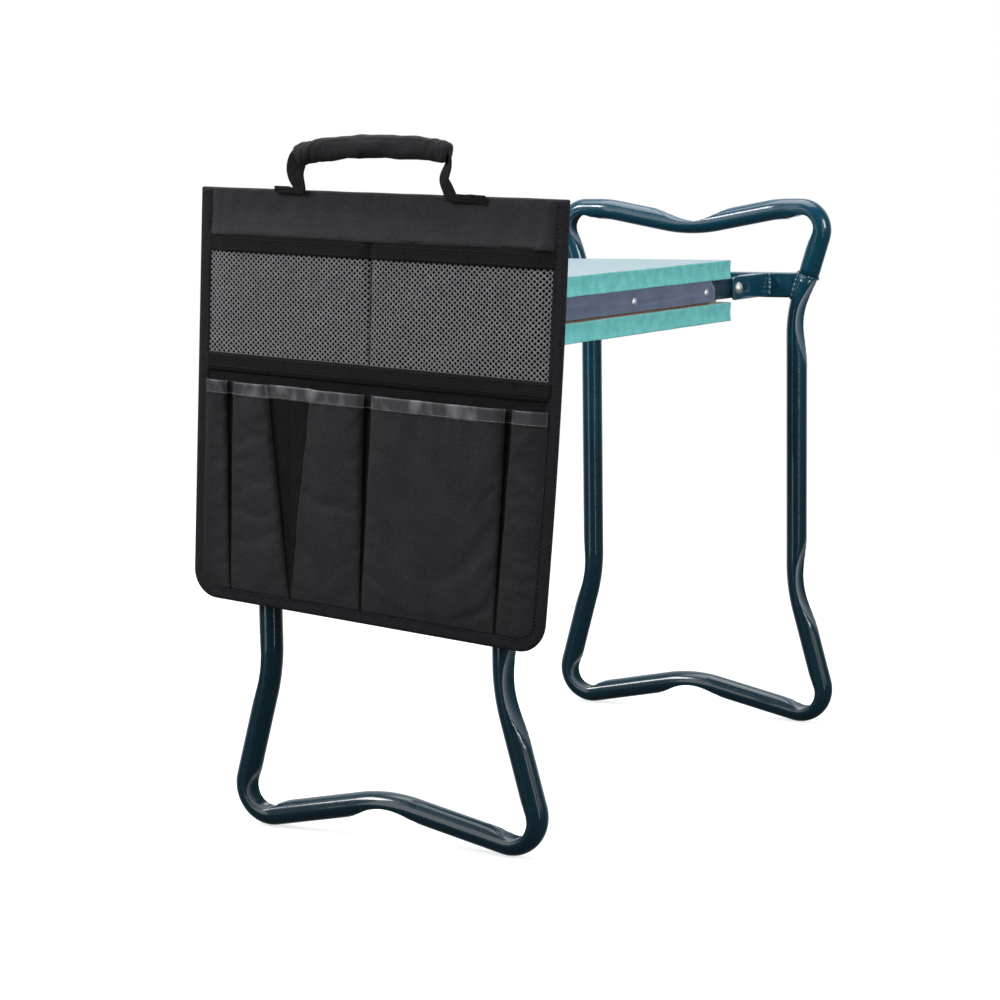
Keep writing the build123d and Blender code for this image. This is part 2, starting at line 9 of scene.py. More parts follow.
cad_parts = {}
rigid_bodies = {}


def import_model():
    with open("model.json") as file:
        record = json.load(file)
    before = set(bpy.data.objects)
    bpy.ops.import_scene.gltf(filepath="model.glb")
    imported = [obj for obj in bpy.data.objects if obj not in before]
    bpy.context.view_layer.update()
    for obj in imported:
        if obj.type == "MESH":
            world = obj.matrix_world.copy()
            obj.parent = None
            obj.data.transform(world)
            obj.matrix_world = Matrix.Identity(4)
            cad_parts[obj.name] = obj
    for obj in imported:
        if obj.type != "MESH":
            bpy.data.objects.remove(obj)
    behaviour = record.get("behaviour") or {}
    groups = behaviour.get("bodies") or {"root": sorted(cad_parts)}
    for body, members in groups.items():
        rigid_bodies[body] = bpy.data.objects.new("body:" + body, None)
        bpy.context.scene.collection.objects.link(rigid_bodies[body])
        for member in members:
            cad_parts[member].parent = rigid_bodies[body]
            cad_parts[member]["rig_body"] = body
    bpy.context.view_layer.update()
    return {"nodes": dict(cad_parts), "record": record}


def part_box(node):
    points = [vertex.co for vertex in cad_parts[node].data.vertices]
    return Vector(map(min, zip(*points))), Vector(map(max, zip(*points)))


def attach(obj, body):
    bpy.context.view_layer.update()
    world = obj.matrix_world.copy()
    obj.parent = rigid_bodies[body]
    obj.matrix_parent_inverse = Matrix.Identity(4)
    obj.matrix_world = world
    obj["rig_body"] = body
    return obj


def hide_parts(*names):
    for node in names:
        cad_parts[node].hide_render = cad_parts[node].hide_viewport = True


# Garden kneeler seat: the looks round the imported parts.
# Lengths are millimetres in the seat's own frame: X = 0 midway between the two leg frames, Y = 0 on the
# seat's long axis and Z = 0 under the feet. P() and to_row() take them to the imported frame, in metres.

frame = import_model()

# ---- driving dimensions, as in the design ----
FRAME_PLANE_X = 279.0
TUBE_R = 9.5
LEG_Y = 107.0
KINK_Z = 129.0
FOOT_Y, FOOT_Z = 142.5, 3.0
ARCH_Z = 32.0
KINK_RADIUS, FOOT_RADIUS, ARCH_RADIUS = 160.0, 23.0, 125.0
WAIST_Z = 383.0
WAIST_RADIUS = 115.0
HANDLE_SLANT = math.radians(17.75)
HANDLE_TOP_Z = 480.5
SHOULDER_Y = 88.0
DIP_Z = 464.5
CORNER_RADIUS, SHOULDER_RADIUS, DIP_RADIUS = 19.5, 110.0, 150.0
TUBE_JOINT_Z = 419.0
CROSSBAR_DEPTH, CROSSBAR_HEIGHT, CROSSBAR_Z = 12.0, 23.0, 410.5
EAR_OUTER_Y, EAR_WALL, EAR_HEIGHT, PIVOT_Z = 81.0, 2.0, 21.0, 411.0
SEAT_TOP_Z = 438.0
PAD_EDGE = 1.2
PAD_STEPS = (6, 6, 1.8)

POUCH_CENTRE_Z = 341.5
POUCH_TILT = math.radians(3.2)
POUCH_HALF_WIDTH, POUCH_HALF_HEIGHT = 162.0, 167.0
POUCH_CORNER = 22.0
BACK_DEPTH, FRONT_DEPTH = 12.8, 16.3
BINDING_WIDTH = 10.5
POCKET_HALF_WIDTH = POUCH_HALF_WIDTH - BINDING_WIDTH
FLAP_EDGE_B, MESH_TOP_B, MESH_BOTTOM_B, BAND_BOTTOM_B = 131.0, 116.5, 35.0, 20.0
TOOL_TOP_B, TOOL_BOTTOM_B, RIBBON_BOTTOM_B = 12.0, -157.0, 1.5
MESH_DIVIDER_A = 3.5
STRAP_AXIS_Z, STRAP_INNER_R, STRAP_Y, STRAP_WIDTH = 477.5, 11.8, 73.0, 20.0

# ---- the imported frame's origin, from the parts themselves ----
far_low, far_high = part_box("far_leg_tube")
near_low, near_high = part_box("near_leg_tube")
pad_low, pad_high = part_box("upper_foam_pad")
ORIGIN = np.array([
    (far_low.x + far_high.x + near_low.x + near_high.x) / 4,
    (far_low.y + far_high.y) / 2,
    pad_high.z - SEAT_TOP_Z / 1000,
])


def to_row(points):
    """Points in millimetres in the seat's own frame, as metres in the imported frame."""
    return ORIGIN + np.asarray(points, float) / 1000


def P(x, y, z):
    return Vector(to_row((x, y, z)))


# ================================================================ materials

def add_object(name, data):
    """A new object in the scene."""
    thing = bpy.data.objects.new(name, data)
    bpy.context.scene.collection.objects.link(thing)
    return thing


class Look:
    """One material, with short calls for the nodes that the materials share."""

    def __init__(self, name, colour, roughness, **sockets):
        self.material = bpy.data.materials.new(name)
        self.material.use_nodes = True
        self.nodes = self.material.node_tree.nodes
        self.links = self.material.node_tree.links
        self.shader = self.nodes["Principled BSDF"]
        self.place = self.nodes.new("ShaderNodeTexCoord").outputs["Object"]
        self.shader.inputs["Base Color"].default_value = (*colour, 1)
        self.shader.inputs["Roughness"].default_value = roughness
        for socket, value in sockets.items():
            self.shader.inputs[socket.replace("_", " ")].default_value = value

    def feed(self, socket, value):
        """Links an output to a socket, or sets the socket to a number."""
        if isinstance(value, bpy.types.NodeSocket):
            self.links.new(value, socket)
        else:
            socket.default_value = value

    def add(self, kind, inputs=None, **settings):
        """A new node of a kind, with its settings made and its inputs fed."""
        node = self.nodes.new(f"ShaderNode{kind}")
        for name, value in settings.items():
            setattr(node, name, value)
        for socket, value in (inputs or {}).items():
            self.feed(node.inputs[socket], value)
        return node

    def math(self, operation, first, second=0.0):
        return self.add("Math", {0: first, 1: second}, operation=operation).outputs[0]

    def stretched(self, scale=(1, 1, 1), turn=(0, 0, 0)):
        """The object's coordinates, turned and scaled."""
        return self.add("Mapping", {"Rotation": turn, "Scale": scale, "Vector": self.place}).outputs[0]

    def noise(self, size_mm, detail=2.0, place=None):
        inputs = {"Scale": 1000 / size_mm, "Detail": detail, "Vector": place or self.place}
        return self.add("TexNoise", inputs).outputs["Fac"]

    def cells(self, size_mm):
        return self.add("TexVoronoi", {"Scale": 1000 / size_mm, "Vector": self.place}).outputs["Distance"]

    def axis(self, number, place=None):
        """One of the coordinates, in metres."""
        return self.add("SeparateXYZ", {0: place or self.place}).outputs[number]

    def wave(self, number, pitch_mm, place=None):
        """A sine from -1 to 1 along one axis of the coordinates."""
        return self.math("SINE", self.math("MULTIPLY", self.axis(number, place), 2000 * math.pi / pitch_mm))

    def ramp(self, amount, low, high, dark, light):
        """A colour between two colours as amount goes from low to high."""
        node = self.add("ValToRGB", {0: amount})
        for stop, place, colour in zip(node.color_ramp.elements, (low, high), (dark, light)):
            stop.position = place
            stop.color = (*colour, 1)
        return node.outputs[0]

    def between(self, value, low, high):
        """From 0 to 1 as a value goes from low to high, slowly at both ends."""
        inputs = {"Value": value, "From Min": low, "From Max": high}
        return self.add("MapRange", inputs, interpolation_type="SMOOTHSTEP").outputs["Result"]

    def edges(self, width_mm):
        """From 0 on a flat face to 1 on a sharp edge."""
        rounded = self.add("Bevel", {"Radius": width_mm / 1000}).outputs[0]
        flat = self.add("NewGeometry").outputs["True Normal"]
        facing = self.add("VectorMath", {0: rounded, 1: flat}, operation="DOT_PRODUCT").outputs["Value"]
        return self.between(self.math("SUBTRACT", 1.0, facing), 0.02, 0.2)

    def blend(self, amount, colour, other):
        """One colour turned into another as amount goes from 0 to 1."""
        node = self.add("Mix", data_type="RGBA", clamp_factor=True)
        for socket, value in ((0, amount), (6, colour), (7, (*other, 1))):
            self.feed(node.inputs[socket], value)
        return node.outputs[2]

    def span(self, amount, low, high):
        """amount, which runs from 0 to 1, put between two numbers."""
        return self.math("ADD", self.math("MULTIPLY", amount, high - low), low)

    def colour(self, output):
        self.links.new(output, self.shader.inputs["Base Color"])

    def tint(self, amount, low, high, dark, light):
        self.colour(self.ramp(amount, low, high, dark, light))

    def rough(self, amount, low, high):
        self.links.new(self.span(amount, low, high), self.shader.inputs["Roughness"])

    def bump(self, height, depth_mm, strength=1.0):
        """Bumps added over those already there."""
        node = self.add("Bump", {"Strength": strength, "Distance": depth_mm / 1000, "Height": height})
        normal = self.shader.inputs["Normal"]
        if normal.links:
            self.links.new(normal.links[0].from_socket, node.inputs["Normal"])
        self.links.new(node.outputs[0], normal)


PAINTED_SHADE_HEIGHTS = (0.15, 0.46)
CREASE_FROM_END, CREASE_SLANT, CREASE_WIDTH = 0.031, 1.2, 0.002


def paint(name, dark, light, roughness, coat=1.0, painted_edge_highlight=False):
    """Gloss enamel over steel: slight orange peel and a few scuffs, with painted shade low down and painted
    light higher up, and pale edges as a painted highlight where asked for.
    """
    look = Look(name, light, roughness, Coat_Weight=coat, Coat_Roughness=0.04, Specular_IOR_Level=0.3)
    # Painted shade low down and painted light higher up, mixed with random tone.
    height = look.between(look.axis(2), *PAINTED_SHADE_HEIGHTS)
    lit_height_and_tone = look.math("ADD", height, look.math("SUBTRACT", look.noise(28, 4), 0.5))
    colour = look.ramp(lit_height_and_tone, 0.1, 0.9, dark, light)
    if painted_edge_highlight:
        # Pale bluish edges broken up by noise: a painted highlight along the sharp edges.
        edge_highlight = look.math("MULTIPLY", look.edges(0.9), look.span(look.noise(2.5, 3), 0.0, 1.6))
        colour = look.blend(edge_highlight, colour, (0.35, 0.42, 0.5))
    look.colour(colour)
    look.rough(look.noise(6, 6), roughness - 0.08, roughness + 0.14)
    look.bump(look.noise(5.0, 2), 0.04, 0.5)
    return look.material


def rail_paint():
    """Grey enamel of the side rails, with painted shade where their ends are set inward and a painted
    highlight along the bend.
    """
    look = Look("rail_paint", (0.1, 0.12, 0.2), 0.42, Coat_Weight=0.15, Specular_IOR_Level=0.4)
    grey = look.ramp(look.noise(30, 4), 0.3, 0.7, (0.095, 0.115, 0.185), (0.15, 0.185, 0.285))
    from_middle = look.math("ABSOLUTE", look.math("SUBTRACT", look.axis(0), (pad_low.x + pad_high.x) / 2))
    above_pivot = look.math("SUBTRACT", look.axis(2), PIVOT_Z / 1000 + float(ORIGIN[2]))
    reach = look.math("ADD", from_middle, look.math("MULTIPLY", above_pivot, CREASE_SLANT))
    crease = (pad_high.x - pad_low.x) / 2 - CREASE_FROM_END
    # Painted shade: the rail turns dark past the bend where its end is set inward.
    painted = look.blend(look.between(reach, crease, crease + CREASE_WIDTH), grey, (0.006, 0.03, 0.052))
    # Painted highlight: a thin pale line along the bend, broken up by noise.
    before = look.between(reach, crease - 0.001, crease)
    after = look.between(reach, crease + 0.0007, crease + 0.0015)
    crease_highlight = look.math("SUBTRACT", before, after)
    crease_highlight = look.math("MULTIPLY", crease_highlight, look.span(look.noise(3, 2), 0.2, 1.2))
    look.colour(look.blend(crease_highlight, painted, (0.45, 0.48, 0.56)))
    look.rough(look.noise(6, 6), 0.3, 0.5)
    look.bump(look.noise(5.0, 2), 0.04, 0.5)
    return look.material


def bare_steel(name, colour):
    look = Look(name, colour, 0.3, Metallic=1.0)
    look.tint(look.noise(2.5, 5), 0.3, 0.75, tuple(0.75 * c for c in colour), colour)
    look.rough(look.noise(1.2, 4), 0.4, 0.7)
    look.bump(look.noise(0.5, 3, look.stretched((1, 1, 5))), 0.02, 0.6)
    return look.material


def foam_cut():
    """Sawn edge of closed-cell foam: pores, faint saw marks and mottled colour."""
    look = Look("foam_cut", (0.12, 0.47, 0.41), 0.72, Sheen_Weight=0.12)
    coarse = look.math("MULTIPLY", look.noise(9, 5), 0.6)
    fine = look.math("MULTIPLY", look.noise(1.6, 3), 0.4)
    mottle = look.math("ADD", coarse, fine)
    look.tint(mottle, 0.38, 0.62, (0.13, 0.56, 0.55), (0.21, 0.72, 0.7))
    look.rough(look.noise(3, 3), 0.62, 0.85)
    look.bump(look.cells(1.1), 0.2, 0.5)
    look.bump(look.noise(0.7, 3), 0.15, 0.6)
    look.bump(look.noise(7, 3), 0.3, 0.4)
    return look.material


def lit_foam_skin():
    """Moulded top of the foam, with rows of fine raised dots, in a greyer tone than the sawn sides: painted
    light from above.
    """
    look = Look("lit_foam_skin", (0.3, 0.6, 0.6), 0.5, Sheen_Weight=0.3, Sheen_Roughness=0.4)
    # Greyer tone than the sawn sides: painted light from above washing over the top.
    look.tint(look.noise(14, 5), 0.3, 0.7, (0.2, 0.305, 0.34), (0.245, 0.36, 0.395))
    look.rough(look.noise(2.0, 4), 0.42, 0.6)
    dots = look.math("MULTIPLY", look.wave(0, 3.6), look.wave(1, 3.6))
    look.bump(look.math("MAXIMUM", dots, 0.0), 0.22, 0.7)
    look.bump(look.noise(0.8, 3), 0.05, 0.5)
    return look.material


def hardboard():
    look = Look("hardboard", (0.33, 0.17, 0.07), 0.8)
    look.tint(look.noise(1.4, 6, look.stretched((1, 1, 4))), 0.3, 0.7, (0.1, 0.05, 0.02), (0.34, 0.18, 0.07))
    look.rough(look.noise(4, 3), 0.7, 0.92)
    look.bump(look.noise(0.6, 4), 0.12, 0.7)
    return look.material


def cloth(name, dark, light, thread_mm, turn=POUCH_TILT, sheen=0.25, shine=0.35):
    """Plain-woven polyester, with uneven threads, darkened by painted shade where a piece carries it."""
    look = Look(name, light, 0.8, Sheen_Weight=sheen, Sheen_Roughness=0.45, Specular_IOR_Level=shine)
    along = look.stretched(turn=(-turn, 0, 0))
    patches = look.math("MULTIPLY", look.noise(22, 4), 0.45)
    level = look.math("MULTIPLY", look.noise(1.3, 3, look.stretched((1, 0.22, 1))), 0.3)
    upright = look.math("MULTIPLY", look.noise(1.3, 3, look.stretched((1, 1, 0.22))), 0.25)
    slubs = look.math("ADD", level, upright)
    grain = look.math("MULTIPLY", look.noise(0.9, 1), 0.7)
    amount = look.math("ADD", look.math("ADD", patches, slubs), look.math("SUBTRACT", grain, 0.35))
    # Painted shade: the colour darkens to a third of the dark tone where the piece carries shade beside its
    # pleats.
    painted_shade = look.add("Attribute", attribute_name="painted_shade").outputs["Fac"]
    look.colour(look.blend(painted_shade, look.ramp(amount, 0.3, 0.68, dark, light), tuple(0.3 * c for c in dark)))
    look.rough(look.noise(3, 3), 0.7, 0.92)
    weave = look.math("MULTIPLY", look.wave(1, 2 * thread_mm, along), look.wave(2, 2 * thread_mm, along))
    look.bump(weave, 0.12, 0.55)
    look.bump(look.noise(7, 3), 0.35, 0.35)
    return look.material


def webbing(name, dark, light, turn=POUCH_TILT):
    """Narrow-woven tape: fine ribs across it and a close weave."""
    look = Look(name, light, 0.82, Sheen_Weight=0.06, Sheen_Roughness=0.5, Specular_IOR_Level=0.2)
    along = look.stretched(turn=(-turn, 0, 0))
    look.tint(look.noise(1.6, 4), 0.34, 0.7, dark, light)
    look.rough(look.noise(2.5, 3), 0.72, 0.95)
    look.bump(look.wave(2, 1.5, along), 0.14, 0.6)
    look.bump(look.wave(1, 0.9, along), 0.08, 0.5)
    return look.material


def satin_ribbon():
    """Smooth tape with slanting ripples, and painted highlights in slanting bands along them."""
    look = Look("ribbon", (0.045, 0.045, 0.05), 0.42, Sheen_Weight=0.1, Specular_IOR_Level=0.5)
    bands = look.noise(16, 3, look.stretched((1, 1, 0.5), (0.7, 0, 0)))
    # Painted highlights: the colour lightens in the slanting bands that also ripple the surface.
    look.tint(bands, 0.46, 0.66, (0.036, 0.036, 0.041), (0.2, 0.2, 0.212))
    look.rough(look.noise(3, 3), 0.38, 0.55)
    look.bump(look.wave(1, 0.8), 0.03, 0.5)
    look.bump(bands, 1.2, 0.5)
    return look.material


def mesh_yarn():
    look = Look("mesh_yarn", (0.27, 0.27, 0.275), 0.7, Sheen_Weight=0.3)
    look.tint(look.noise(2.2, 4), 0.32, 0.7, (0.185, 0.185, 0.193), (0.365, 0.365, 0.378))
    look.rough(look.noise(1.5, 2), 0.6, 0.85)
    look.bump(look.noise(0.35, 2), 0.08, 0.7)
    return look.material


def hook_and_loop():
    look = Look("hook_and_loop", (0.02, 0.02, 0.021), 0.95, Sheen_Weight=0.6, Sheen_Roughness=0.6)
    look.tint(look.noise(1.2, 4), 0.3, 0.7, (0.01, 0.01, 0.011), (0.04, 0.04, 0.042))
    look.rough(look.noise(2, 2), 0.85, 1.0)
    look.bump(look.cells(0.9), 0.35, 0.9)
    return look.material


def moulded(name, dark, light):
    look = Look(name, light, 0.55, Specular_IOR_Level=0.4)
    look.tint(look.noise(6, 4), 0.3, 0.7, dark, light)
    look.rough(look.noise(2, 4), 0.45, 0.68)
    look.bump(look.noise(0.5, 2), 0.03, 0.5)
    return look.material


ENAMEL = ((0.0045, 0.028, 0.043), (0.003, 0.058, 0.098), 0.26, 0.72)
TEAL = paint("frame_paint", *ENAMEL)
EDGED_TEAL = paint("edged_frame_paint", *ENAMEL, painted_edge_highlight=True)
# Lighter than the frame paint, as a painted highlight on the lumpy beads.
WELD = paint("weld_paint", (0.015, 0.06, 0.09), (0.05, 0.13, 0.18), 0.18)
RAIL = rail_paint()
ZINC = bare_steel("zinc_steel", (0.85, 0.86, 0.88))
FOAM_CUT = foam_cut()
LIT_FOAM_SKIN = lit_foam_skin()
HARDBOARD = hardboard()
OXFORD = cloth("oxford_cloth", (0.0122, 0.012, 0.0152), (0.0295, 0.029, 0.0345), 0.62, sheen=0.12)
GRIP_CLOTH = cloth("grip_cloth", (0.0068, 0.0067, 0.0085), (0.017, 0.0167, 0.0205), 0.62, 0.0, sheen=0.1)
# Darker cloth for the pouch's back and front panels, also used as painted shade inside the pleats.
LINING_AND_PLEAT_SHADE = cloth("lining_and_pleat_shade", (0.0062, 0.006, 0.0075), (0.0155, 0.015, 0.0175), 0.5, sheen=0.03, shine=0.12)
BINDING = webbing("binding", (0.011, 0.011, 0.0145), (0.023, 0.023, 0.0285))
HEM = webbing("hem", (0.0045, 0.0045, 0.005), (0.0125, 0.0125, 0.0135))
RIBBON = satin_ribbon()
MESH_YARN = mesh_yarn()
THREAD = moulded("thread", (0.008, 0.008, 0.009), (0.02, 0.02, 0.022))
PALE_THREAD = moulded("pale_thread", (0.1, 0.1, 0.102), (0.24, 0.24, 0.245))
VELCRO = hook_and_loop()
NYLON = moulded("nylon", (0.02, 0.02, 0.02), (0.045, 0.045, 0.045))
STIFFENER = moulded("stiffener_board", (0.05, 0.05, 0.05), (0.09, 0.09, 0.09))

SLOT_LOOKS = {
    "foam": FOAM_CUT, "hardboard": HARDBOARD, "rail_paint": RAIL, "nylon": NYLON, "zinc_steel": ZINC,
    "frame_paint": TEAL, "stiffener": STIFFENER, "mesh": MESH_YARN, "webbing": BINDING, "ribbon": RIBBON,
    "oxford_cloth": OXFORD,
}


def paint_cad_nodes():
    """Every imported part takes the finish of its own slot."""
    for subpart in frame["record"]["subparts"]:
        node = frame["nodes"][subpart["node"]]
        node.data.materials.clear()
        node.data.materials.append(SLOT_LOOKS[subpart["material_slot"]])


# ================================================================ camera, light and floor

CAMERA_PLACE = (-2106.43, -1138.78, 546.01)
CAMERA_YAW, CAMERA_PITCH, CAMERA_ROLL = math.radians(29.503), math.radians(-7.326), math.radians(-0.733)
CAMERA_LENS = 100.54


def make_camera():
    ahead = Vector((
        math.cos(CAMERA_PITCH) * math.cos(CAMERA_YAW),
        math.cos(CAMERA_PITCH) * math.sin(CAMERA_YAW),
        math.sin(CAMERA_PITCH),
    ))
    level = ahead.cross(Vector((0, 0, 1))).normalized()
    upright = level.cross(ahead)
    right = math.cos(CAMERA_ROLL) * level + math.sin(CAMERA_ROLL) * upright
    up = math.cos(CAMERA_ROLL) * upright - math.sin(CAMERA_ROLL) * level
    camera = add_object("camera", bpy.data.cameras.new("camera"))
    camera.data.lens = CAMERA_LENS
    camera.data.sensor_width = 36
    turn = Matrix((right, up, -ahead)).transposed().to_4x4()
    camera.matrix_world = Matrix.Translation(P(*CAMERA_PLACE)) @ turn
    bpy.context.scene.camera = camera


def softbox(name, place, aim, size, power, glint=1.0):
    """A rectangular studio light, in metres round the seat's middle."""
    light = bpy.data.lights.new(name, "AREA")
    light.shape = "RECTANGLE"
    light.size, light.size_y = size
    light.energy = power
    light.specular_factor = glint
    box = add_object(name, light)
    box.location = place
    box.rotation_euler = (Vector(aim) - Vector(place)).to_track_quat("-Z", "Y").to_euler()
    box.visible_camera = False


def make_lights():
    middle = (0, 0, 0.28)
    softbox("overhead", (0.1, 0.2, 2.3), (0, 0, 0.3), (1.8, 1.8), 40, 0.18)
    softbox("key_left", (-1.5, 1.5, 1.7), middle, (0.7, 0.7), 38, 0.25)
    softbox("fill_right", (-0.5, -2.5, 1.2), middle, (0.8, 1.0), 38, 0.4)
    softbox("strip_right", (-1.3, -1.9, 0.5), middle, (0.1, 1.6), 4)
    softbox("strip_left", (-2.0, 0.9, 0.5), middle, (0.6, 1.4), 6)


def make_world():
    """Pale studio: bright behind and above the seat, dimmer on the side that it is seen from."""
    world = bpy.data.worlds.new("studio")
    world.use_nodes = True
    nodes, links = world.node_tree.nodes, world.node_tree.links
    background = nodes["Background"]
    background.inputs["Color"].default_value = (0.84, 0.92, 1, 1)
    heading = nodes.new("ShaderNodeTexCoord")
    toward = nodes.new("ShaderNodeVectorMath")
    toward.operation = "DOT_PRODUCT"
    toward.inputs[1].default_value = Vector((0.8, 0.45, 0.35)).normalized()
    links.new(heading.outputs["Generated"], toward.inputs[0])
    shade = nodes.new("ShaderNodeMapRange")
    shade.interpolation_type = "SMOOTHSTEP"
    for name, value in (("From Min", 0.2), ("From Max", 1.0), ("To Min", 0.07), ("To Max", 0.95)):
        shade.inputs[name].default_value = value
    links.new(toward.outputs["Value"], shade.inputs["Value"])
    links.new(shade.outputs["Result"], background.inputs["Strength"])
    backdrop = nodes.new("ShaderNodeBackground")
    backdrop.inputs["Color"].default_value = (1, 1, 1, 1)
    seen = nodes.new("ShaderNodeLightPath")
    both = nodes.new("ShaderNodeMixShader")
    links.new(seen.outputs["Is Camera Ray"], both.inputs[0])
    links.new(background.outputs[0], both.inputs[1])
    links.new(backdrop.outputs[0], both.inputs[2])
    links.new(both.outputs[0], nodes["World Output"].inputs["Surface"])
    bpy.context.scene.world = world
    bpy.context.scene.view_settings.view_transform = "Standard"


def make_floor():
    look = Look("floor", (0.9, 0.9, 0.9), 0.9, Specular_IOR_Level=0.0)
    look.shader.inputs["Emission Color"].default_value = (1, 1, 1, 1)
    look.shader.inputs["Emission Strength"].default_value = 0.72
    look.tint(look.noise(400, 2), 0.3, 0.7, (0.5, 0.5, 0.5), (0.55, 0.55, 0.55))
    maker = bmesh.new()
    bmesh.ops.create_circle(maker, cap_ends=True, segments=96, radius=2.4)
    mesh = bpy.data.meshes.new("floor")
    maker.to_mesh(mesh)
    maker.free()
    floor = add_object("floor", mesh)
    floor.data.materials.append(look.material)
    floor.visible_glossy = False
    floor.visible_diffuse = False


# ================================================================ mesh helpers

def make_piece(name, points, faces, material, body, slot, replaces=(), closed=True):
    """A smooth-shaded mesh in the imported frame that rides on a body. points are in millimetres."""
    mesh = bpy.data.meshes.new(name)
    mesh.from_pydata(to_row(points).tolist(), [], faces)
    if closed:
        maker = bmesh.new()
        maker.from_mesh(mesh)
        bmesh.ops.recalc_face_normals(maker, faces=maker.faces)
        maker.to_mesh(mesh)
        maker.free()
    mesh.shade_smooth()
    piece = add_object(name, mesh)
    piece.data.materials.append(material)
    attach(piece, body)
    if replaces:
        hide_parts(*replaces)
    return piece


def grid_faces(rows, columns, wrap=False):
    """Quads over a grid of points, row by row. wrap joins the last column to the first."""
    across = columns if wrap else columns - 1
    faces = []
    for i in range(rows - 1):
        for j in range(across):
            k = (j + 1) % columns
            faces.append((i * columns + j, i * columns + k, (i + 1) * columns + k, (i + 1) * columns + j))
    return faces


def capped(rows, columns):
    """Faces of a tube of rings with both ends closed."""
    ends = [tuple(range(columns)), tuple(range((rows - 1) * columns, rows * columns))]
    return grid_faces(rows, columns, wrap=True) + ends


def soften(piece):
    """Rounds a piece's shape."""
    levels = piece.modifiers.new("smooth", "SUBSURF")
    levels.levels = levels.render_levels = 1


def thicken(piece, thickness_mm, soft=True):
    """Gives a sheet its thickness, half on each side."""
    if soft:
        soften(piece)
    solid = piece.modifiers.new("thickness", "SOLIDIFY")
    solid.thickness = thickness_mm / 1000
    solid.offset = 0


SETTLE_FRAMES = 16


def settle(piece, pinned, growth, cap_mm, pressure=0.0):
    """Lets cloth find its own creases while it stays sewn at the pinned points: it grows a little, is
    moved by Blender's Cloth, and no point goes further than cap_mm."""
    sewn = piece.vertex_groups.new(name="sewn")
    sewn.add([int(i) for i in pinned], 1.0, "REPLACE")
    modifier = piece.modifiers.new("cloth", "CLOTH")
    cloth_settings = modifier.settings
    cloth_settings.vertex_group_mass = "sewn"
    cloth_settings.quality = 4
    cloth_settings.mass = 0.15
    cloth_settings.tension_stiffness = cloth_settings.compression_stiffness = 18
    cloth_settings.shear_stiffness = 8
    cloth_settings.bending_stiffness = 0.35
    cloth_settings.shrink_min = -growth
    cloth_settings.effector_weights.gravity = 0.15 if pressure == 0 else 0.0
    cloth_settings.use_pressure = pressure > 0
    cloth_settings.uniform_pressure_force = pressure
    modifier.collision_settings.use_collision = False
    scene = bpy.context.scene
    for step in range(1, SETTLE_FRAMES + 1):
        scene.frame_set(step)
    evaluated = piece.evaluated_get(bpy.context.evaluated_depsgraph_get())
    before, after = np.empty(3 * len(piece.data.vertices)), np.empty(3 * len(piece.data.vertices))
    piece.data.vertices.foreach_get("co", before)
    evaluated.data.vertices.foreach_get("co", after)
    piece.modifiers.remove(modifier)
    scene.frame_set(1)
    move = (after - before).reshape(-1, 3)
    distance = np.linalg.norm(move, axis=1)
    cap = cap_mm / 1000
    move *= (cap * np.tanh(distance / cap) / np.maximum(distance, 1e-9))[:, None]
    piece.data.vertices.foreach_set("co", (before.reshape(-1, 3) + move).ravel())
    piece.data.update()


def unit(vector):
    return vector / np.linalg.norm(vector)


def tangents(line, *spacing):
    """Unit directions along a line."""
    along = np.gradient(line, *spacing, axis=0)
    return along / np.linalg.norm(along, axis=1)[:, None]


def sideways(along):
    """Unit directions in a plane, turned a quarter."""
    return np.stack([-along[:, 1], along[:, 0]], axis=1)


def lengths(line):
    """How far along a line each of its points is."""
    return np.concatenate([[0], np.cumsum(np.linalg.norm(np.diff(line, axis=0), axis=1))])


def round_turn(sides):
    return np.linspace(0, 2 * math.pi, sides, endpoint=False)


def squarer(value, power):
    """A sine or cosine bent so that a round outline becomes squarer."""
    return np.sign(value) * np.abs(value) ** power


def eased(amount):
    """0 to 1, slowly at both ends."""
    return amount * amount * (3 - 2 * amount)


def transported(points):
    """A direction across a line at each of its points that turns as little as it can."""
    points = np.asarray(points, float)
    along = tangents(points)
    first = np.cross(along[0], (0.0, 0.0, 1.0))
    if np.linalg.norm(first) < 0.1:
        first = np.cross(along[0], (1.0, 0.0, 0.0))
    across = [unit(first)]
    for direction in along[1:]:
        across.append(unit(across[-1] - direction * (across[-1] @ direction)))
    return along, np.array(across)


def pipe(points, radii, sides=10):
    """Points and faces of a round bar along a line, with a radius at each point."""
    along, across = transported(points)
    other = np.cross(along, across)
    turn = round_turn(sides)
    radii = np.broadcast_to(radii, len(points))[:, None, None]
    ring = np.cos(turn)[None, :, None] * across[:, None] + np.sin(turn)[None, :, None] * other[:, None]
    rings = np.asarray(points, float)[:, None] + radii * ring
    return rings.reshape(-1, 3), capped(len(points), sides)


def merged(parts):
    """Several (points, faces) as one."""
    points, faces, start = [], [], 0
    for part_points, part_faces in parts:
        points.append(part_points)
        faces += [tuple(i + start for i in face) for face in part_faces]
        start += len(part_points)
    return np.concatenate(points), faces


def smooth_line(points, step):
    """Points every step along a Catmull-Rom curve through the given ones."""
    points = np.asarray(points, float)
    ends = np.concatenate([[2 * points[0] - points[1]], points, [2 * points[-1] - points[-2]]])
    line = []
    for p0, p1, p2, p3 in zip(ends, ends[1:], ends[2:], ends[3:]):
        count = max(2, int(np.linalg.norm(p2[:3] - p1[:3]) / step))
        for t in np.linspace(0, 1, count, endpoint=False):
            line.append(0.5 * (2 * p1 + (p2 - p0) * t + (2 * p0 - 5 * p1 + 4 * p2 - p3) * t ** 2
                               + (3 * p1 - p0 - 3 * p2 + p3) * t ** 3))
    line.append(points[-1])
    return np.array(line)


def ripple(points, size_mm, seed):
    """Smooth noise from -1 to 1 at each point."""
    shift = Vector((seed * 17.3, seed * 5.1, seed * 9.7))
    return np.array([noise.noise(Vector(p) / size_mm + shift) for p in np.asarray(points)])


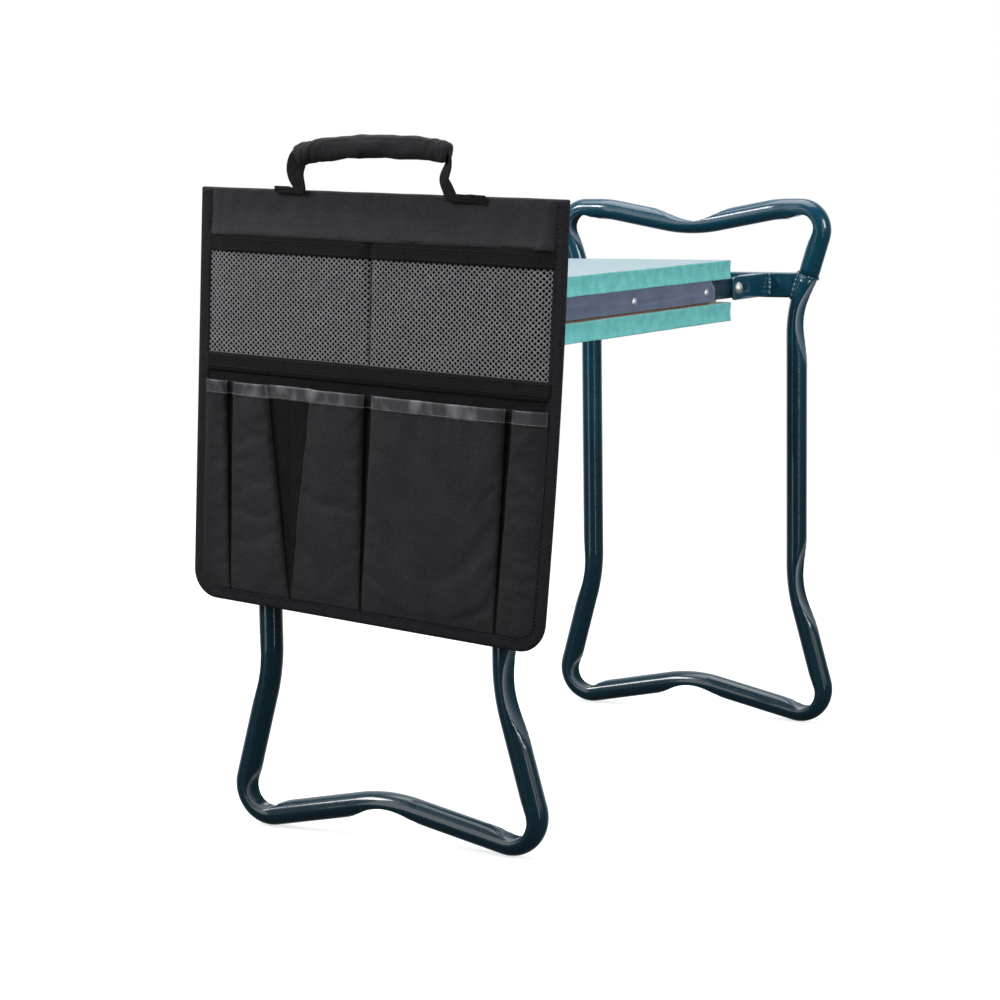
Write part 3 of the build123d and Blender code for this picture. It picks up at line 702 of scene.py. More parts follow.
def bevelled_copy(node, width_mm, material, crease=32):
    """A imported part's own shape with its sharp edges softened."""
    source = frame["nodes"][node]
    maker = bmesh.new()
    maker.from_mesh(source.data)
    bmesh.ops.remove_doubles(maker, verts=maker.verts, dist=1e-6)
    bmesh.ops.dissolve_limit(maker, angle_limit=math.radians(2), verts=maker.verts, edges=maker.edges)
    mesh = bpy.data.meshes.new(f"{node}_edged")
    maker.to_mesh(mesh)
    maker.free()
    mesh.shade_smooth()
    piece = add_object(f"{node}_edged", mesh)
    mesh.materials.clear()
    mesh.materials.append(material)
    edges = piece.modifiers.new("edges", "BEVEL")
    edges.width = width_mm / 1000
    edges.segments = 3
    edges.limit_method = "ANGLE"
    edges.angle_limit = math.radians(crease)
    edges.harden_normals = True
    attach(piece, source["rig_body"])
    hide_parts(node)


# ================================================================ steel frames

ARC_STEP, RUN_STEP = 1.6, 7.0


def rounded_path(points, radii):
    """A polyline in Y and Z with arcs at its corners: its points, and each bend's middle and centre."""
    points = [np.array(p, float) for p in points]
    line, bends = [points[0]], []

    def run_to(end):
        start = line[-1]
        for t in np.linspace(0, 1, max(2, math.ceil(np.linalg.norm(end - start) / RUN_STEP) + 1))[1:]:
            line.append(start + (end - start) * t)

    for before, corner, after, radius in zip(points, points[1:], points[2:], radii):
        back, onward = unit(before - corner), unit(after - corner)
        turn = math.pi - math.acos(back @ onward)
        reach = radius * math.tan(turn / 2)
        centre = corner + unit(back + onward) * radius / math.cos(turn / 2)
        run_to(corner + back * reach)
        spoke = line[-1] - centre
        way = math.copysign(1, spoke[1] * back[0] - spoke[0] * back[1])
        first = len(line) - 1
        steps = math.ceil(radius * turn / ARC_STEP)
        for i in range(1, steps + 1):
            angle = way * turn * i / steps
            cos, sin = math.cos(angle), math.sin(angle)
            line.append(centre + np.array([cos * spoke[0] - sin * spoke[1], sin * spoke[0] + cos * spoke[1]]))
        bends.append(((first + len(line) - 1) // 2, centre))
    run_to(points[-1])
    return np.array(line), bends


def dented_tube(path, radii, dents, x, sides=96):
    """Bent round tube, pressed in on the inner side of each bend with a crisp crescent edge.
    A dent is the share of the radius left at its middle, how much more is left towards its sides,
    and its half-length."""
    line, bends = rounded_path(path, radii)
    length = lengths(line)
    normal = sideways(tangents(line, length))
    turn = round_turn(sides)
    u = np.repeat(TUBE_R * np.cos(turn)[None], len(line), axis=0)
    v = np.repeat(TUBE_R * np.sin(turn)[None], len(line), axis=0)
    for (middle, centre), (keep, rise, half) in zip(bends, dents):
        side = math.copysign(1, (centre - line[middle]) @ normal[middle])
        reach = np.clip((length - length[middle]) / half, -1, 1)
        weight = (np.cos(reach * math.pi / 2) ** 1.2)[:, None]
        limit = TUBE_R * (1.02 - (1.02 - keep) * weight + rise * weight * (v / TUBE_R) ** 2)
        u = side * np.minimum(side * u, limit)
        v = v * (1 + 0.03 * weight)
    rings = np.empty((len(line), sides, 3))
    rings[:, :, 0] = x + v
    rings[:, :, 1] = line[:, None, 0] + u * normal[:, None, 0]
    rings[:, :, 2] = line[:, None, 1] + u * normal[:, None, 1]
    return rings.reshape(-1, 3), capped(len(line), sides)


def joint_y():
    return LEG_Y + (TUBE_JOINT_Z - WAIST_Z) * math.tan(HANDLE_SLANT)


def leg_tube(x):
    half = [(joint_y(), TUBE_JOINT_Z), (LEG_Y, WAIST_Z), (LEG_Y, KINK_Z), (FOOT_Y, FOOT_Z)]
    path = half + [(0, ARCH_Z)] + [(-y, z) for y, z in reversed(half)]
    radii = [WAIST_RADIUS, KINK_RADIUS, FOOT_RADIUS, ARCH_RADIUS, FOOT_RADIUS, KINK_RADIUS, WAIST_RADIUS]
    rear_waist, rear_kink, foot, arch = (0.4, 0.4, 36), (0.25, 0.3, 38), (0.05, 0.25, 35), (0.28, 0.0, 38)
    front_kink, front_waist = (0.08, 0.15, 46), (0.12, 0.1, 46)
    return dented_tube(path, radii, [rear_waist, rear_kink, foot, arch, foot, front_kink, front_waist], x)


def handle_tube(x):
    corner_y = LEG_Y + (HANDLE_TOP_Z - WAIST_Z) * math.tan(HANDLE_SLANT)
    half = [(joint_y(), TUBE_JOINT_Z), (corner_y, HANDLE_TOP_Z), (SHOULDER_Y, HANDLE_TOP_Z)]
    path = half + [(0, DIP_Z)] + [(-y, z) for y, z in reversed(half)]
    radii = [CORNER_RADIUS, SHOULDER_RADIUS, DIP_RADIUS, SHOULDER_RADIUS, CORNER_RADIUS]
    corner, shoulder, dip = (0.12, 0.3, 32), (1.0, 0.0, 10), (0.05, 0.15, 40)
    return dented_tube(path, radii, [corner, shoulder, dip, shoulder, corner], x)


def weld_bead(points, radius=1.5):
    """A lumpy run of weld along a line."""
    line = smooth_line(points, 0.8)
    beat = np.arange(len(line)) * 0.6
    radii = radius * (0.66 + 0.45 * np.abs(np.sin(beat)) + 0.5 * ripple(line, 4.0, 3))
    radii[0] = radii[-1] = radius * 0.25
    return pipe(line, radii, 10)


def joint_rim(x, side):
    """Lip of the lower tube where the hand rail goes into it, with two tacks on it."""
    centre = np.array([x, side * joint_y(), TUBE_JOINT_Z])
    along = np.array([0, side * math.sin(HANDLE_SLANT), math.cos(HANDLE_SLANT)])
    other = np.cross(along, (1.0, 0, 0))
    turn = np.linspace(0, 2 * math.pi, 65)
    level = np.array([1.0, 0, 0])
    circle = centre + (TUBE_R - 0.15) * (np.cos(turn)[:, None] * level + np.sin(turn)[:, None] * other)
    parts = [pipe(circle, 0.55, 8)]
    for angle in (0.4, 2.2, 3.6, 5.0):
        spot = centre + (TUBE_R - 0.2) * (math.cos(angle) * level + math.sin(angle) * other)
        parts.append(weld_bead([spot - 1.6 * along, spot, spot + 1.9 * along], 1.1))
    return merged(parts)


def crossbar_weld(x, side):
    """Weld round the crossbar's end, where it meets the leg tube."""
    half_depth, half_height = CROSSBAR_DEPTH / 2 - 0.5, CROSSBAR_HEIGHT / 2 - 0.3
    loop = [
        (-1, -1), (-1, -0.4), (-1, 0.4), (-1, 1), (-0.3, 1), (0.4, 1), (1, 1), (1, 0.3), (1, -0.4), (1, -1),
        (0.3, -1), (-0.4, -1), (-1, -1),
    ]
    points = []
    for across, up in loop:
        z = CROSSBAR_Z + up * half_height
        centre_y = LEG_Y + max(0.0, z - WAIST_Z) * math.tan(HANDLE_SLANT)
        offset = across * half_depth
        points.append((x + offset, side * (centre_y - math.sqrt(TUBE_R ** 2 - offset ** 2) - 0.3), z))
    return weld_bead(points, 1.9)


def ear_weld(x, outward, side):
    """Two upright beads where an ear's web meets the crossbar."""
    weld_x = x - outward * CROSSBAR_DEPTH / 2
    parts = []
    for y in (EAR_OUTER_Y + 0.4, EAR_OUTER_Y - EAR_WALL - 0.3):
        low, high = PIVOT_Z - EAR_HEIGHT / 2 + 0.6, PIVOT_Z + EAR_HEIGHT / 2 - 0.6
        line = [(weld_x - 0.2 * outward, side * y, low + t * (high - low)) for t in (0, 0.25, 0.5, 0.75, 1)]
        parts.append(weld_bead(line, 2.3))
    return merged(parts)


def make_frames():
    for name, outward in (("near", -1), ("far", 1)):
        x, body = outward * FRAME_PLANE_X, f"{name}_leg"
        make_piece(f"{name}_leg_tube_bent", *leg_tube(x), TEAL, body, "frame_paint", [f"{name}_leg_tube"])
        make_piece(f"{name}_handle_tube_bent", *handle_tube(x), TEAL, body, "frame_paint",
                   [f"{name}_handle_tube", f"{name}_joint_sleeves"])
        welds = []
        for side in (1, -1):
            welds += [joint_rim(x, side), crossbar_weld(x, side), ear_weld(x, outward, side)]
        make_piece(f"{name}_welds", *merged(welds), WELD, body, "frame_paint")
        bevelled_copy(f"{name}_crossbar", 0.5, TEAL)
        for end in ("front", "rear"):
            bevelled_copy(f"{name}_{end}_ear", 0.7, EDGED_TEAL)


# ================================================================ seat deck

def grid_lines(half, edge, step):
    """Places across a pad side, close together where its edge is rounded."""
    inner = np.linspace(-half + edge, half - edge, max(2, round(2 * half / step)))
    rim = np.array([0.0, 0.3, 0.65]) * edge
    return np.concatenate([-half + rim, inner, half - rim[::-1]])


def pad_shape(centre, half, seed):
    """Foam slab with crisp edges: sides drawn in a little between their corners, faces slightly uneven.
    Gives its points, its faces, and which faces are the moulded top or bottom."""
    lines = [grid_lines(size, PAD_EDGE, step) for size, step in zip(half, PAD_STEPS)]
    index, points, faces, skins = {}, [], [], []

    def vertex(place):
        key = tuple(np.round(place, 4))
        if key not in index:
            index[key] = len(points)
            points.append(place)
        return index[key]

    for axis in range(3):
        first, second = [a for a in range(3) if a != axis]
        for end in (-half[axis], half[axis]):
            ids = []
            for s in lines[first]:
                for t in lines[second]:
                    place = [0.0, 0.0, 0.0]
                    place[axis], place[first], place[second] = end, s, t
                    ids.append(vertex(place))
            columns = len(lines[second])
            for face in grid_faces(len(lines[first]), columns):
                faces.append(tuple(ids[i] for i in face))
                skins.append(axis == 2)
    points = np.array(points)
    core = np.clip(points, -np.array(half) + PAD_EDGE, np.array(half) - PAD_EDGE)
    out = points - core
    out /= np.linalg.norm(out, axis=1)[:, None]
    points = core + out * PAD_EDGE
    level = points[:, 2] / half[2]
    waist = 1 - level ** 2
    on_side = np.hypot(out[:, 0], out[:, 1])
    uneven = ripple(points, 34, seed) * 0.45 + ripple(points, 9, seed + 1) * 0.16
    inward = on_side * (0.75 * waist + uneven)
    points[:, 0] -= np.sign(points[:, 0]) * np.abs(out[:, 0]) * inward
    points[:, 1] -= np.sign(points[:, 1]) * np.abs(out[:, 1]) * inward
    points[:, 2] -= out[:, 2] * np.abs(ripple(points * (1, 1, 0), 60, seed + 2)) * 0.5
    return points + centre, faces, skins


def make_pads():
    for seed, name in enumerate(("upper_foam_pad", "lower_foam_pad")):
        low, high = (np.array(corner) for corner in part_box(name))
        centre = ((low + high) / 2 - ORIGIN) * 1000
        points, faces, skins = pad_shape(centre, (high - low) * 500, 11 + 5 * seed)
        pad = make_piece(f"{name}_cut", points, faces, FOAM_CUT, "seat", "foam", [name])
        pad.data.materials.append(LIT_FOAM_SKIN)
        for polygon, skin in zip(pad.data.polygons, skins):
            polygon.material_index = 1 if skin else 0


def make_deck():
    make_pads()
    for node in ("front_side_rail", "rear_side_rail"):
        bevelled_copy(node, 0.5, RAIL, crease=12)


# ================================================================ pouch
# The pouch is drawn upright: depth outward from the strap axis, a across it and b up it.

def pouch_points(depth, a, b):
    """Where points of the upright pouch are once it hangs, in millimetres. The cloth has pulled a little out
    of square: its front edge is taller than its rear one, and its lower front corner is drawn in."""
    depth, a, b = np.broadcast_arrays(np.asarray(depth, float), np.asarray(a, float), np.asarray(b, float))
    front = (POUCH_HALF_WIDTH - a) / (2 * POUCH_HALF_WIDTH)
    up = b / POUCH_HALF_HEIGHT
    drawn = -0.8 * (1 - front) + front * (-2.5 - 3.8 * up + 2.7 * up ** 2)
    a2 = a + drawn
    b2 = b * (1 - 0.0225 * a / POUCH_HALF_WIDTH)
    y = a2 * math.cos(POUCH_TILT) - b2 * math.sin(POUCH_TILT)
    z = POUCH_CENTRE_Z + b2 * math.cos(POUCH_TILT) + a2 * math.sin(POUCH_TILT)
    return np.stack([-FRAME_PLANE_X - depth, y, z], axis=-1).reshape(-1, 3)


def inside_corners(a, b, inset):
    """Squeezes a rectangle's two lower corners into the pouch's rounded ones."""
    radius = POUCH_CORNER - inset
    corner_a, corner_b = POUCH_HALF_WIDTH - POUCH_CORNER, -POUCH_HALF_HEIGHT + POUCH_CORNER
    side = np.sign(a)
    u = np.clip((np.abs(a) - corner_a) / radius, 0, None)
    v = np.clip((corner_b - b) / radius, 0, None)
    in_corner = (u > 0) & (v > 0)
    longest, distance = np.maximum(u, v), np.maximum(np.hypot(u, v), 1e-9)
    squeeze = np.where(in_corner, longest / distance, 1.0)
    a = np.where(in_corner, side * (corner_a + u * squeeze * radius), a)
    b = np.where(in_corner, corner_b - v * squeeze * radius, b)
    return a, b


def sheet_grid(a0, a1, b0, b1, step):
    """Rows and columns of (a, b) places over a rectangle."""
    columns = max(2, round(abs(a1 - a0) / step) + 1)
    rows = max(2, round(abs(b1 - b0) / step) + 1)
    b, a = np.meshgrid(np.linspace(b0, b1, rows), np.linspace(a0, a1, columns), indexing="ij")
    return a, b


def add_sheet(name, depth, a, b, thickness, material, slot, replaces,
              pinned=None):
    """One panel of cloth over a grid of places. Where some of its points are pinned it is settled."""
    points, faces = pouch_points(depth, a, b), grid_faces(*a.shape)
    piece = make_piece(name, points, faces, material, "pouch", slot, replaces, closed=False)
    if pinned is not None:
        settle(piece, np.flatnonzero(pinned), 0.008, 0.8)
    thicken(piece, thickness)
    return piece


def dimples(a, b, size, seed):
    """Smooth noise from -1 to 1 over places on the pouch."""
    return ripple(np.stack([a.ravel(), b.ravel(), np.zeros(a.size)], axis=1), size, seed).reshape(a.shape)


def make_panels():
    """The pouch's back, and its front below the flap."""
    inset = 1.0
    half = POUCH_HALF_WIDTH - inset
    for side, top, depth, uneven, seed in (
        ("back", POUCH_HALF_HEIGHT - 2.5, BACK_DEPTH + 0.5, 0.35, 2),
        ("front", FLAP_EDGE_B + 12, FRONT_DEPTH - 0.5, 0.3, 4),
    ):
        a, b = inside_corners(*sheet_grid(half, -half, -POUCH_HALF_HEIGHT + inset, top, 5), inset)
        depth = depth + uneven * dimples(a, b, 45, seed)
        add_sheet(f"pouch_{side}_cloth", depth, a, b, 0.9, LINING_AND_PLEAT_SHADE, "oxford_cloth", [f"pouch_{side}_panel"])


def make_flap():
    """Top panel: over the pouch's top edge and down the front, standing over the mesh pocket's hem."""
    a_lines = np.linspace(POUCH_HALF_WIDTH - 1, -POUCH_HALF_WIDTH + 1, 84)
    top = POUCH_HALF_HEIGHT
    line = smooth_line([
        (BACK_DEPTH + 0.3, top - 9), (BACK_DEPTH + 0.1, top - 3), (BACK_DEPTH + 0.7, top - 0.9),
        ((BACK_DEPTH + FRONT_DEPTH) / 2, top - 0.3), (FRONT_DEPTH - 0.2, top - 0.9),
        (FRONT_DEPTH + 0.5, top - 3), (FRONT_DEPTH + 0.7, top - 9), (FRONT_DEPTH + 1.4, top - 18),
        (FRONT_DEPTH + 3.6, top - 28),
        (FRONT_DEPTH + 5.6, FLAP_EDGE_B + 1.5), (FRONT_DEPTH + 5.7, FLAP_EDGE_B - 0.6),
        (FRONT_DEPTH + 5.0, FLAP_EDGE_B - 0.9),
    ], 1.6)
    depth = np.repeat(line[:, :1], len(a_lines), axis=1)
    b = np.repeat(line[:, 1:2], len(a_lines), axis=1)
    a = np.repeat(a_lines[None], len(line), axis=0)
    free = np.clip((POCKET_HALF_WIDTH + 0.8 - np.abs(a)) / 9, 0, 1)
    free = eased(free)
    lift = np.clip(depth - FRONT_DEPTH + 0.3, 0, None)
    swell = (0.5 * dimples(a, b, 40, 6) + 0.18 * dimples(a, b, 13, 7)) * np.clip(lift, 0, 1)
    depth = depth - lift * (1 - free) + swell * free
    edge_wander = 0.5 * dimples(a, 0 * b, 60, 8) * (b < FLAP_EDGE_B + 4)
    b = b + edge_wander + 0.35 * dimples(a, 0 * b, 30, 9) * (b > top - 4)
    points = pouch_points(depth, a, b)
    piece = make_piece("pouch_top_flap", points, grid_faces(*a.shape), OXFORD, "pouch", "oxford_cloth",
                       ["pouch_top_band"], closed=False)
    settle(piece, np.flatnonzero((free < 0.3) | (lift < 0.3)), 0.015, 1.0)
    thicken(piece, 0.9)


def binding_line():
    """The pouch's outline from rear top corner round the bottom to front top corner, with the way inward."""
    half, bottom, radius = POUCH_HALF_WIDTH, -POUCH_HALF_HEIGHT, POUCH_CORNER
    places, inward = [], []
    top = POUCH_HALF_HEIGHT - 0.5
    for b in np.linspace(top, bottom + radius, 90):
        places.append((half, b))
        inward.append((-1, 0))
    for angle in np.linspace(0, math.pi / 2, 16)[1:-1]:
        places.append((half - radius + radius * math.cos(angle), bottom + radius - radius * math.sin(angle)))
        inward.append((-math.cos(angle), math.sin(angle)))
    for a in np.linspace(half - radius, -half + radius, 76):
        places.append((a, bottom))
        inward.append((0, 1))
    mirrored = [((-a, b), (-i, j)) for (a, b), (i, j) in zip(places[:104], inward[:104])][::-1]
    places += [place for place, _ in mirrored]
    inward += [way for _, way in mirrored]
    return np.array(places), np.array(inward)


def make_binding():
    """Woven tape folded over the edge of the pouch and sewn through on both sides."""
    places, inward = binding_line()
    width = BINDING_WIDTH
    front, back = FRONT_DEPTH + 0.75, BACK_DEPTH - 0.45
    outer = [
        (width, front - 0.35), (width - 0.3, front), (width * 0.86, front - 0.15), (width * 0.6, front + 0.1),
        (width * 0.3, front + 0.05), (1.0, front - 0.15), (0.1, front - 1.0), (-0.2, (front + back) / 2),
        (0.1, back + 1.0), (1.0, back + 0.15), (width * 0.5, back - 0.1), (width - 0.3, back),
        (width, back + 0.35),
    ]
    inner = [(width - 0.2, back + 0.55), (1.2, back + 0.6), (0.8, (front + back) / 2), (1.2, front - 0.6),
             (width - 0.2, front - 0.6)]
    profile = np.array(outer + inner)
    wander = ripple(np.column_stack([places, np.zeros(len(places))]), 26, 12)
    rings = []
    for place, way, stray in zip(places, inward, wander):
        inset = profile[:, 0] * (1 + 0.05 * stray * (profile[:, 0] > 4))
        rings.append(np.column_stack([profile[:, 1], place[0] + way[0] * inset, place[1] + way[1] * inset]))
    rings = np.concatenate(rings)
    points = pouch_points(*rings.T)
    faces = capped(len(places), len(profile))
    make_piece("pouch_binding_tape", points, faces, BINDING, "pouch", "webbing", ["pouch_edge_binding"])
    line = places + inward * (width - 2.0)
    for name, depth in (("front", front + 0.1), ("back", back - 0.1)):
        stitches(f"binding_stitches_{name}", depth, line[:, 0], line[:, 1], THREAD, 3.2)


def stitches(name, depth, a, b, material, pitch, body="pouch", radius=0.24):
    """A row of short threads along a line on the pouch."""
    line = pouch_points(depth, a, b)
    length = lengths(line)
    starts = np.arange(pitch / 2, length[-1] - pitch / 2, pitch)
    sign = -1.0 if np.mean(depth) > (BACK_DEPTH + FRONT_DEPTH) / 2 else 1.0
    parts = []
    for start in starts:
        t = np.array([0, 0.18, 0.5, 0.82, 1.0]) * pitch * 0.78 + start
        points = np.column_stack([np.interp(t, length, line[:, i]) for i in range(3)])
        points[:, 0] += sign * np.array([-0.3, 0.1, 0.22, 0.1, -0.3])
        parts.append(pipe(points, np.array([0.45, 0.95, 1.1, 0.95, 0.45]) * radius, 5))
    make_piece(name, *merged(parts), material, body, "webbing")


def mesh_depth(a, b):
    """How far out the mesh pocket's front stands: sewn down at its sides, its divider and its lower edge."""
    side = np.clip((POCKET_HALF_WIDTH - np.abs(a)) / 16, 0, 1)
    side = eased(side)
    up = np.clip((b - MESH_BOTTOM_B) / (FLAP_EDGE_B - MESH_BOTTOM_B), 0, 1) ** 0.7
    seam = np.exp(-((a - MESH_DIVIDER_A) / 3.2) ** 2)
    swell = 1.3 * dimples(a + b, 0.5 * b, 30, 21) + 0.35 * dimples(a, b, 15, 22)
    out = (0.9 + 3.2 * up) * (0.03 + 0.97 * side) * (1 - 0.62 * seam)
    return FRONT_DEPTH + out + swell * side * (1 - seam) * 0.8


# A cell of the net, and how far its hole reaches, along the cell's axes and on the slant, as shares of it.
MESH_CELL_WIDTH, MESH_CELL_HEIGHT = 4.62, 4.3
HOLE_AXIS_REACH, HOLE_SLANT_REACH, HOLE_HEIGHT_SCALE = 0.315, 0.26, 1.04
YARN_THICKNESS, YARN_ROUND = 0.4, 0.12


def make_mesh_pocket():
    """Knitted mesh: threads crossing on the slant, with a real hole in every diamond."""
    wide, tall = MESH_CELL_WIDTH, MESH_CELL_HEIGHT
    half = POCKET_HALF_WIDTH + 2.5
    rows = round((MESH_TOP_B - MESH_BOTTOM_B + 6) / (tall / 2))
    columns = round(2 * half / wide)
    turn = np.arange(8) * math.pi / 4
    cos, sin = np.cos(turn), np.sin(turn)
    on_axis = np.arange(8) % 2 == 0
    diamond = np.where(on_axis, 0.5, 0.25 * math.sqrt(2))
    hole = np.where(on_axis, HOLE_AXIS_REACH, HOLE_SLANT_REACH)
    outline = np.column_stack([wide * diamond * cos, tall * diamond * sin, np.full(8, YARN_ROUND)])
    opening = np.column_stack([wide * hole * cos, tall * hole * sin * HOLE_HEIGHT_SCALE, np.full(8, -0.1)])
    cell = np.concatenate([outline, opening])
    centres = []
    for j in range(rows + 1):
        for i in range(columns + 1 - j % 2):
            centres.append((-half + (i + (j % 2) / 2) * wide, MESH_BOTTOM_B - 3 + j * tall / 2))
    centres = np.array(centres)
    points = np.repeat(cell[None], len(centres), axis=0)
    points[:, :, :2] += centres[:, None]
    points = points.reshape(-1, 3)
    _, first, same = np.unique(np.round(points[:, :2], 2), axis=0, return_index=True, return_inverse=True)
    same = same.reshape(-1, 16)
    points = points[first]
    a, b = points[:, 0], points[:, 1]
    depth = mesh_depth(a, b) + points[:, 2]
    faces = []
    for ids in same:
        for k in range(8):
            n = (k + 1) % 8
            faces.append((ids[k], ids[n], ids[8 + n], ids[8 + k]))
    piece = make_piece("mesh_pocket_net", pouch_points(depth, a, b), faces, MESH_YARN, "pouch", "mesh",
                       ["mesh_pocket_front", "mesh_pocket_walls"], closed=False)
    thicken(piece, YARN_THICKNESS, soft=False)


def make_hems():
    """Woven bands above and below the mesh, and their stitch lines."""
    half = POCKET_HALF_WIDTH + 2
    a, b = sheet_grid(half, -half, MESH_TOP_B, FLAP_EDGE_B + 1.2, 3.4)
    depth = mesh_depth(a, b) + 0.55 + 0.12 * dimples(a, b, 9, 31)
    add_sheet("mesh_hem_upper", depth, a, b, 0.8, HEM, "webbing", ["mesh_top_hem"])
    a, b = sheet_grid(half, -half, BAND_BOTTOM_B, MESH_BOTTOM_B, 3.4)
    fold = np.clip((b - BAND_BOTTOM_B) / 3.0, 0, 1)
    depth = FRONT_DEPTH + 0.4 + 1.1 * fold + 0.2 * dimples(a, b, 14, 33)
    add_sheet("mesh_hem_lower", depth, a, b, 0.8, HEM, "webbing", ["mesh_bottom_hem"])
    line = np.linspace(half - 2, -half + 2, 60)
    for name, b_line in (
        ("upper_high", FLAP_EDGE_B - 4.0), ("upper_low", MESH_TOP_B + 2.2),
        ("lower_high", MESH_BOTTOM_B - 2.2), ("lower_low", BAND_BOTTOM_B + 4.0),
    ):
        level = np.full_like(line, b_line)
        depth = mesh_depth(line, level) + 1.1 if name.startswith("upper") else FRONT_DEPTH + 2.0
        stitches(f"hem_stitches_{name}", depth, line, level, THREAD, 2.9)
    down = np.linspace(FLAP_EDGE_B - 3, MESH_BOTTOM_B + 1, 40)
    across = np.full(40, MESH_DIVIDER_A)
    stitches("mesh_divider_stitches", mesh_depth(across, down) + 0.45, across, down, THREAD, 3.0, radius=0.5)


# The tool pocket's front, across: a at its top edge, a at its lower edge, how far it stands out at the top.
LIP = 5.2
FLOOR_GAP = 0.55
TOOL_STEP = 3.0
TOOL_PROFILE = [
    (153.0, 153.0, 0.8), (150.5, 151.0, 2.4), (146.0, 146.5, 4.2), (140.0, 138.0, 5.2), (135.0, 129.5, 4.6),
    (133.0, 127.0, 3.4), (132.3, 126.6, 1.9), (131.7, 126.2, FLOOR_GAP), (127.4, 125.1, FLOOR_GAP),
    (126.8, 124.7, 1.9), (126.0, 124.0, 3.5), (123.0, 119.5, 5.1), (111.0, 96.0, 6.0), (100.0, 75.0, 5.9),
    (97.0, 69.9, 5.5), (95.8, 69.1, 4.9), (94.8, 68.7, 3.0), (93.6, 68.5, 1.4), (84.0, 68.3, 0.9),
    (75.4, 68.15, 0.7), (73.7, 68.0, 0.4), (72.0, 67.85, 0.8), (63.0, 67.7, 1.4), (55.0, 67.5, 1.9),
    (53.4, 67.2, 3.0), (52.2, 66.8, 4.7), (49.5, 64.5, 5.7), (38.0, 45.0, 6.1), (22.0, 28.0, 6.0),
    (9.9, 9.5, 5.2), (6.5, 4.8, 4.0), (5.3, 3.0, 2.4), (4.6, 2.5, FLOOR_GAP), (-0.6, 1.0, FLOOR_GAP),
    (-1.4, 0.6, 2.4), (-2.9, -0.9, 4.1), (-7.0, -5.5, 5.3), (-18.0, -18.0, 6.1), (-60.0, -60.0, 6.3),
    (-100.0, -100.0, 6.1), (-112.0, -112.0, 5.4), (-117.0, -116.9, 4.0), (-118.4, -118.6, 2.3),
    (-119.2, -119.1, FLOOR_GAP), (-123.6, -120.5, FLOOR_GAP), (-124.3, -121.0, 2.3), (-126.0, -122.7, 4.0),
    (-130.0, -128.0, 5.2), (-141.0, -141.0, 5.2), (-149.0, -149.5, 3.4), (-153.5, -153.0, 0.8),
]


def tool_columns():
    """The profile's points with more between them where they are far apart."""
    profile = np.array(TOOL_PROFILE)
    columns = []
    for here, after in zip(profile, profile[1:]):
        count = max(1, round(abs(after[0] - here[0]) / TOOL_STEP))
        for t in np.linspace(0, 1, count, endpoint=False):
            columns.append(here + (after - here) * t)
    columns.append(profile[-1])
    return np.array(columns)


def tool_up(b):
    """From 0 at the tool pocket's lower edge to 1 at its top."""
    return np.clip((b - TOOL_BOTTOM_B) / (TOOL_TOP_B - TOOL_BOTTOM_B), 0, 1)


def tool_surface(b):
    """Places (depth, a) across the tool pocket's front at each height b."""
    top_a, bottom_a, stand = tool_columns().T[:, None]
    up = tool_up(b)[:, None]
    floor = np.where(stand < 1.5, 0.45, 0.5)
    return floor + (stand - floor) * up ** 0.55, bottom_a + (top_a - bottom_a) * up


def shade_pleats(piece, narrow_only):
    """The darker cloth finish on the faces down inside the pleats, or inside the narrow ones only: painted
    shade in the recesses.
    """
    piece.data.materials.append(LINING_AND_PLEAT_SHADE)
    columns = tool_columns()
    recessed = columns[:, 2] < 3.3
    if narrow_only:
        recessed &= np.abs(columns[:, 0] - 74) > 25
    recessed[:3] = recessed[-3:] = False
    for polygon in piece.data.polygons:
        column = polygon.index % (len(columns) - 1)
        polygon.material_index = int(recessed[column] and recessed[column + 1])


def darken_pleats(piece, a, b):
    """Painted shade beside each pleat, wider towards the top, and at the pocket's sides."""
    up = tool_up(b)
    painted_shade = np.zeros(a.shape)
    for top_a, bottom_a, strength, foot, growth in (
        (129.6, 125.6, 1.0, 1.2, 4.6), (4.5, 1.8, 1.0, 1.2, 4.6), (-121.3, -119.8, 1.0, 1.2, 4.6),
        (95.0, 69.0, 0.75, 1.5, 2.0), (53.0, 67.2, 0.75, 1.5, 2.0),
    ):
        away = (a - (bottom_a + (top_a - bottom_a) * up)) / (foot + growth * up)
        painted_shade = np.maximum(painted_shade, strength * np.exp(-np.abs(away) ** 1.6))
    # Painted shade at the pocket's sides, stronger on the rear side.
    side = np.clip((np.abs(a) - 134) / 18, 0, 1)
    painted_shade = np.maximum(painted_shade, np.where(a > 0, 0.75, 0.3) * side)
    piece.data.attributes.new("painted_shade", "FLOAT", "POINT").data.foreach_set("value", painted_shade.ravel())


def make_tool_pocket():
    b_lines = np.linspace(TOOL_BOTTOM_B, TOOL_TOP_B, 74)
    out, a = tool_surface(b_lines)
    b = np.repeat(b_lines[:, None], a.shape[1], axis=1)
    slack = np.clip(out / LIP, 0, 1) * np.clip((b - TOOL_BOTTOM_B) / 20, 0, 1)
    out = out + slack * (0.7 * dimples(a, 0.4 * b, 30, 41) + 0.18 * dimples(a, b, 12, 42))
    corner_a, corner_b = inside_corners(a, b, BINDING_WIDTH - 1)
    pinned = (out < 1.2) | (b > RIBBON_BOTTOM_B - 1) | (b < TOOL_BOTTOM_B + 6)
    pinned[:, :3] = pinned[:, -3:] = True
    piece = add_sheet("tool_pocket_cloth", FRONT_DEPTH + out, corner_a, corner_b, 0.8, OXFORD, "oxford_cloth",
                      ["tool_pocket_front", "tool_pocket_walls"], pinned)
    shade_pleats(piece, narrow_only=False)
    darken_pleats(piece, a, b)
    make_ribbon()


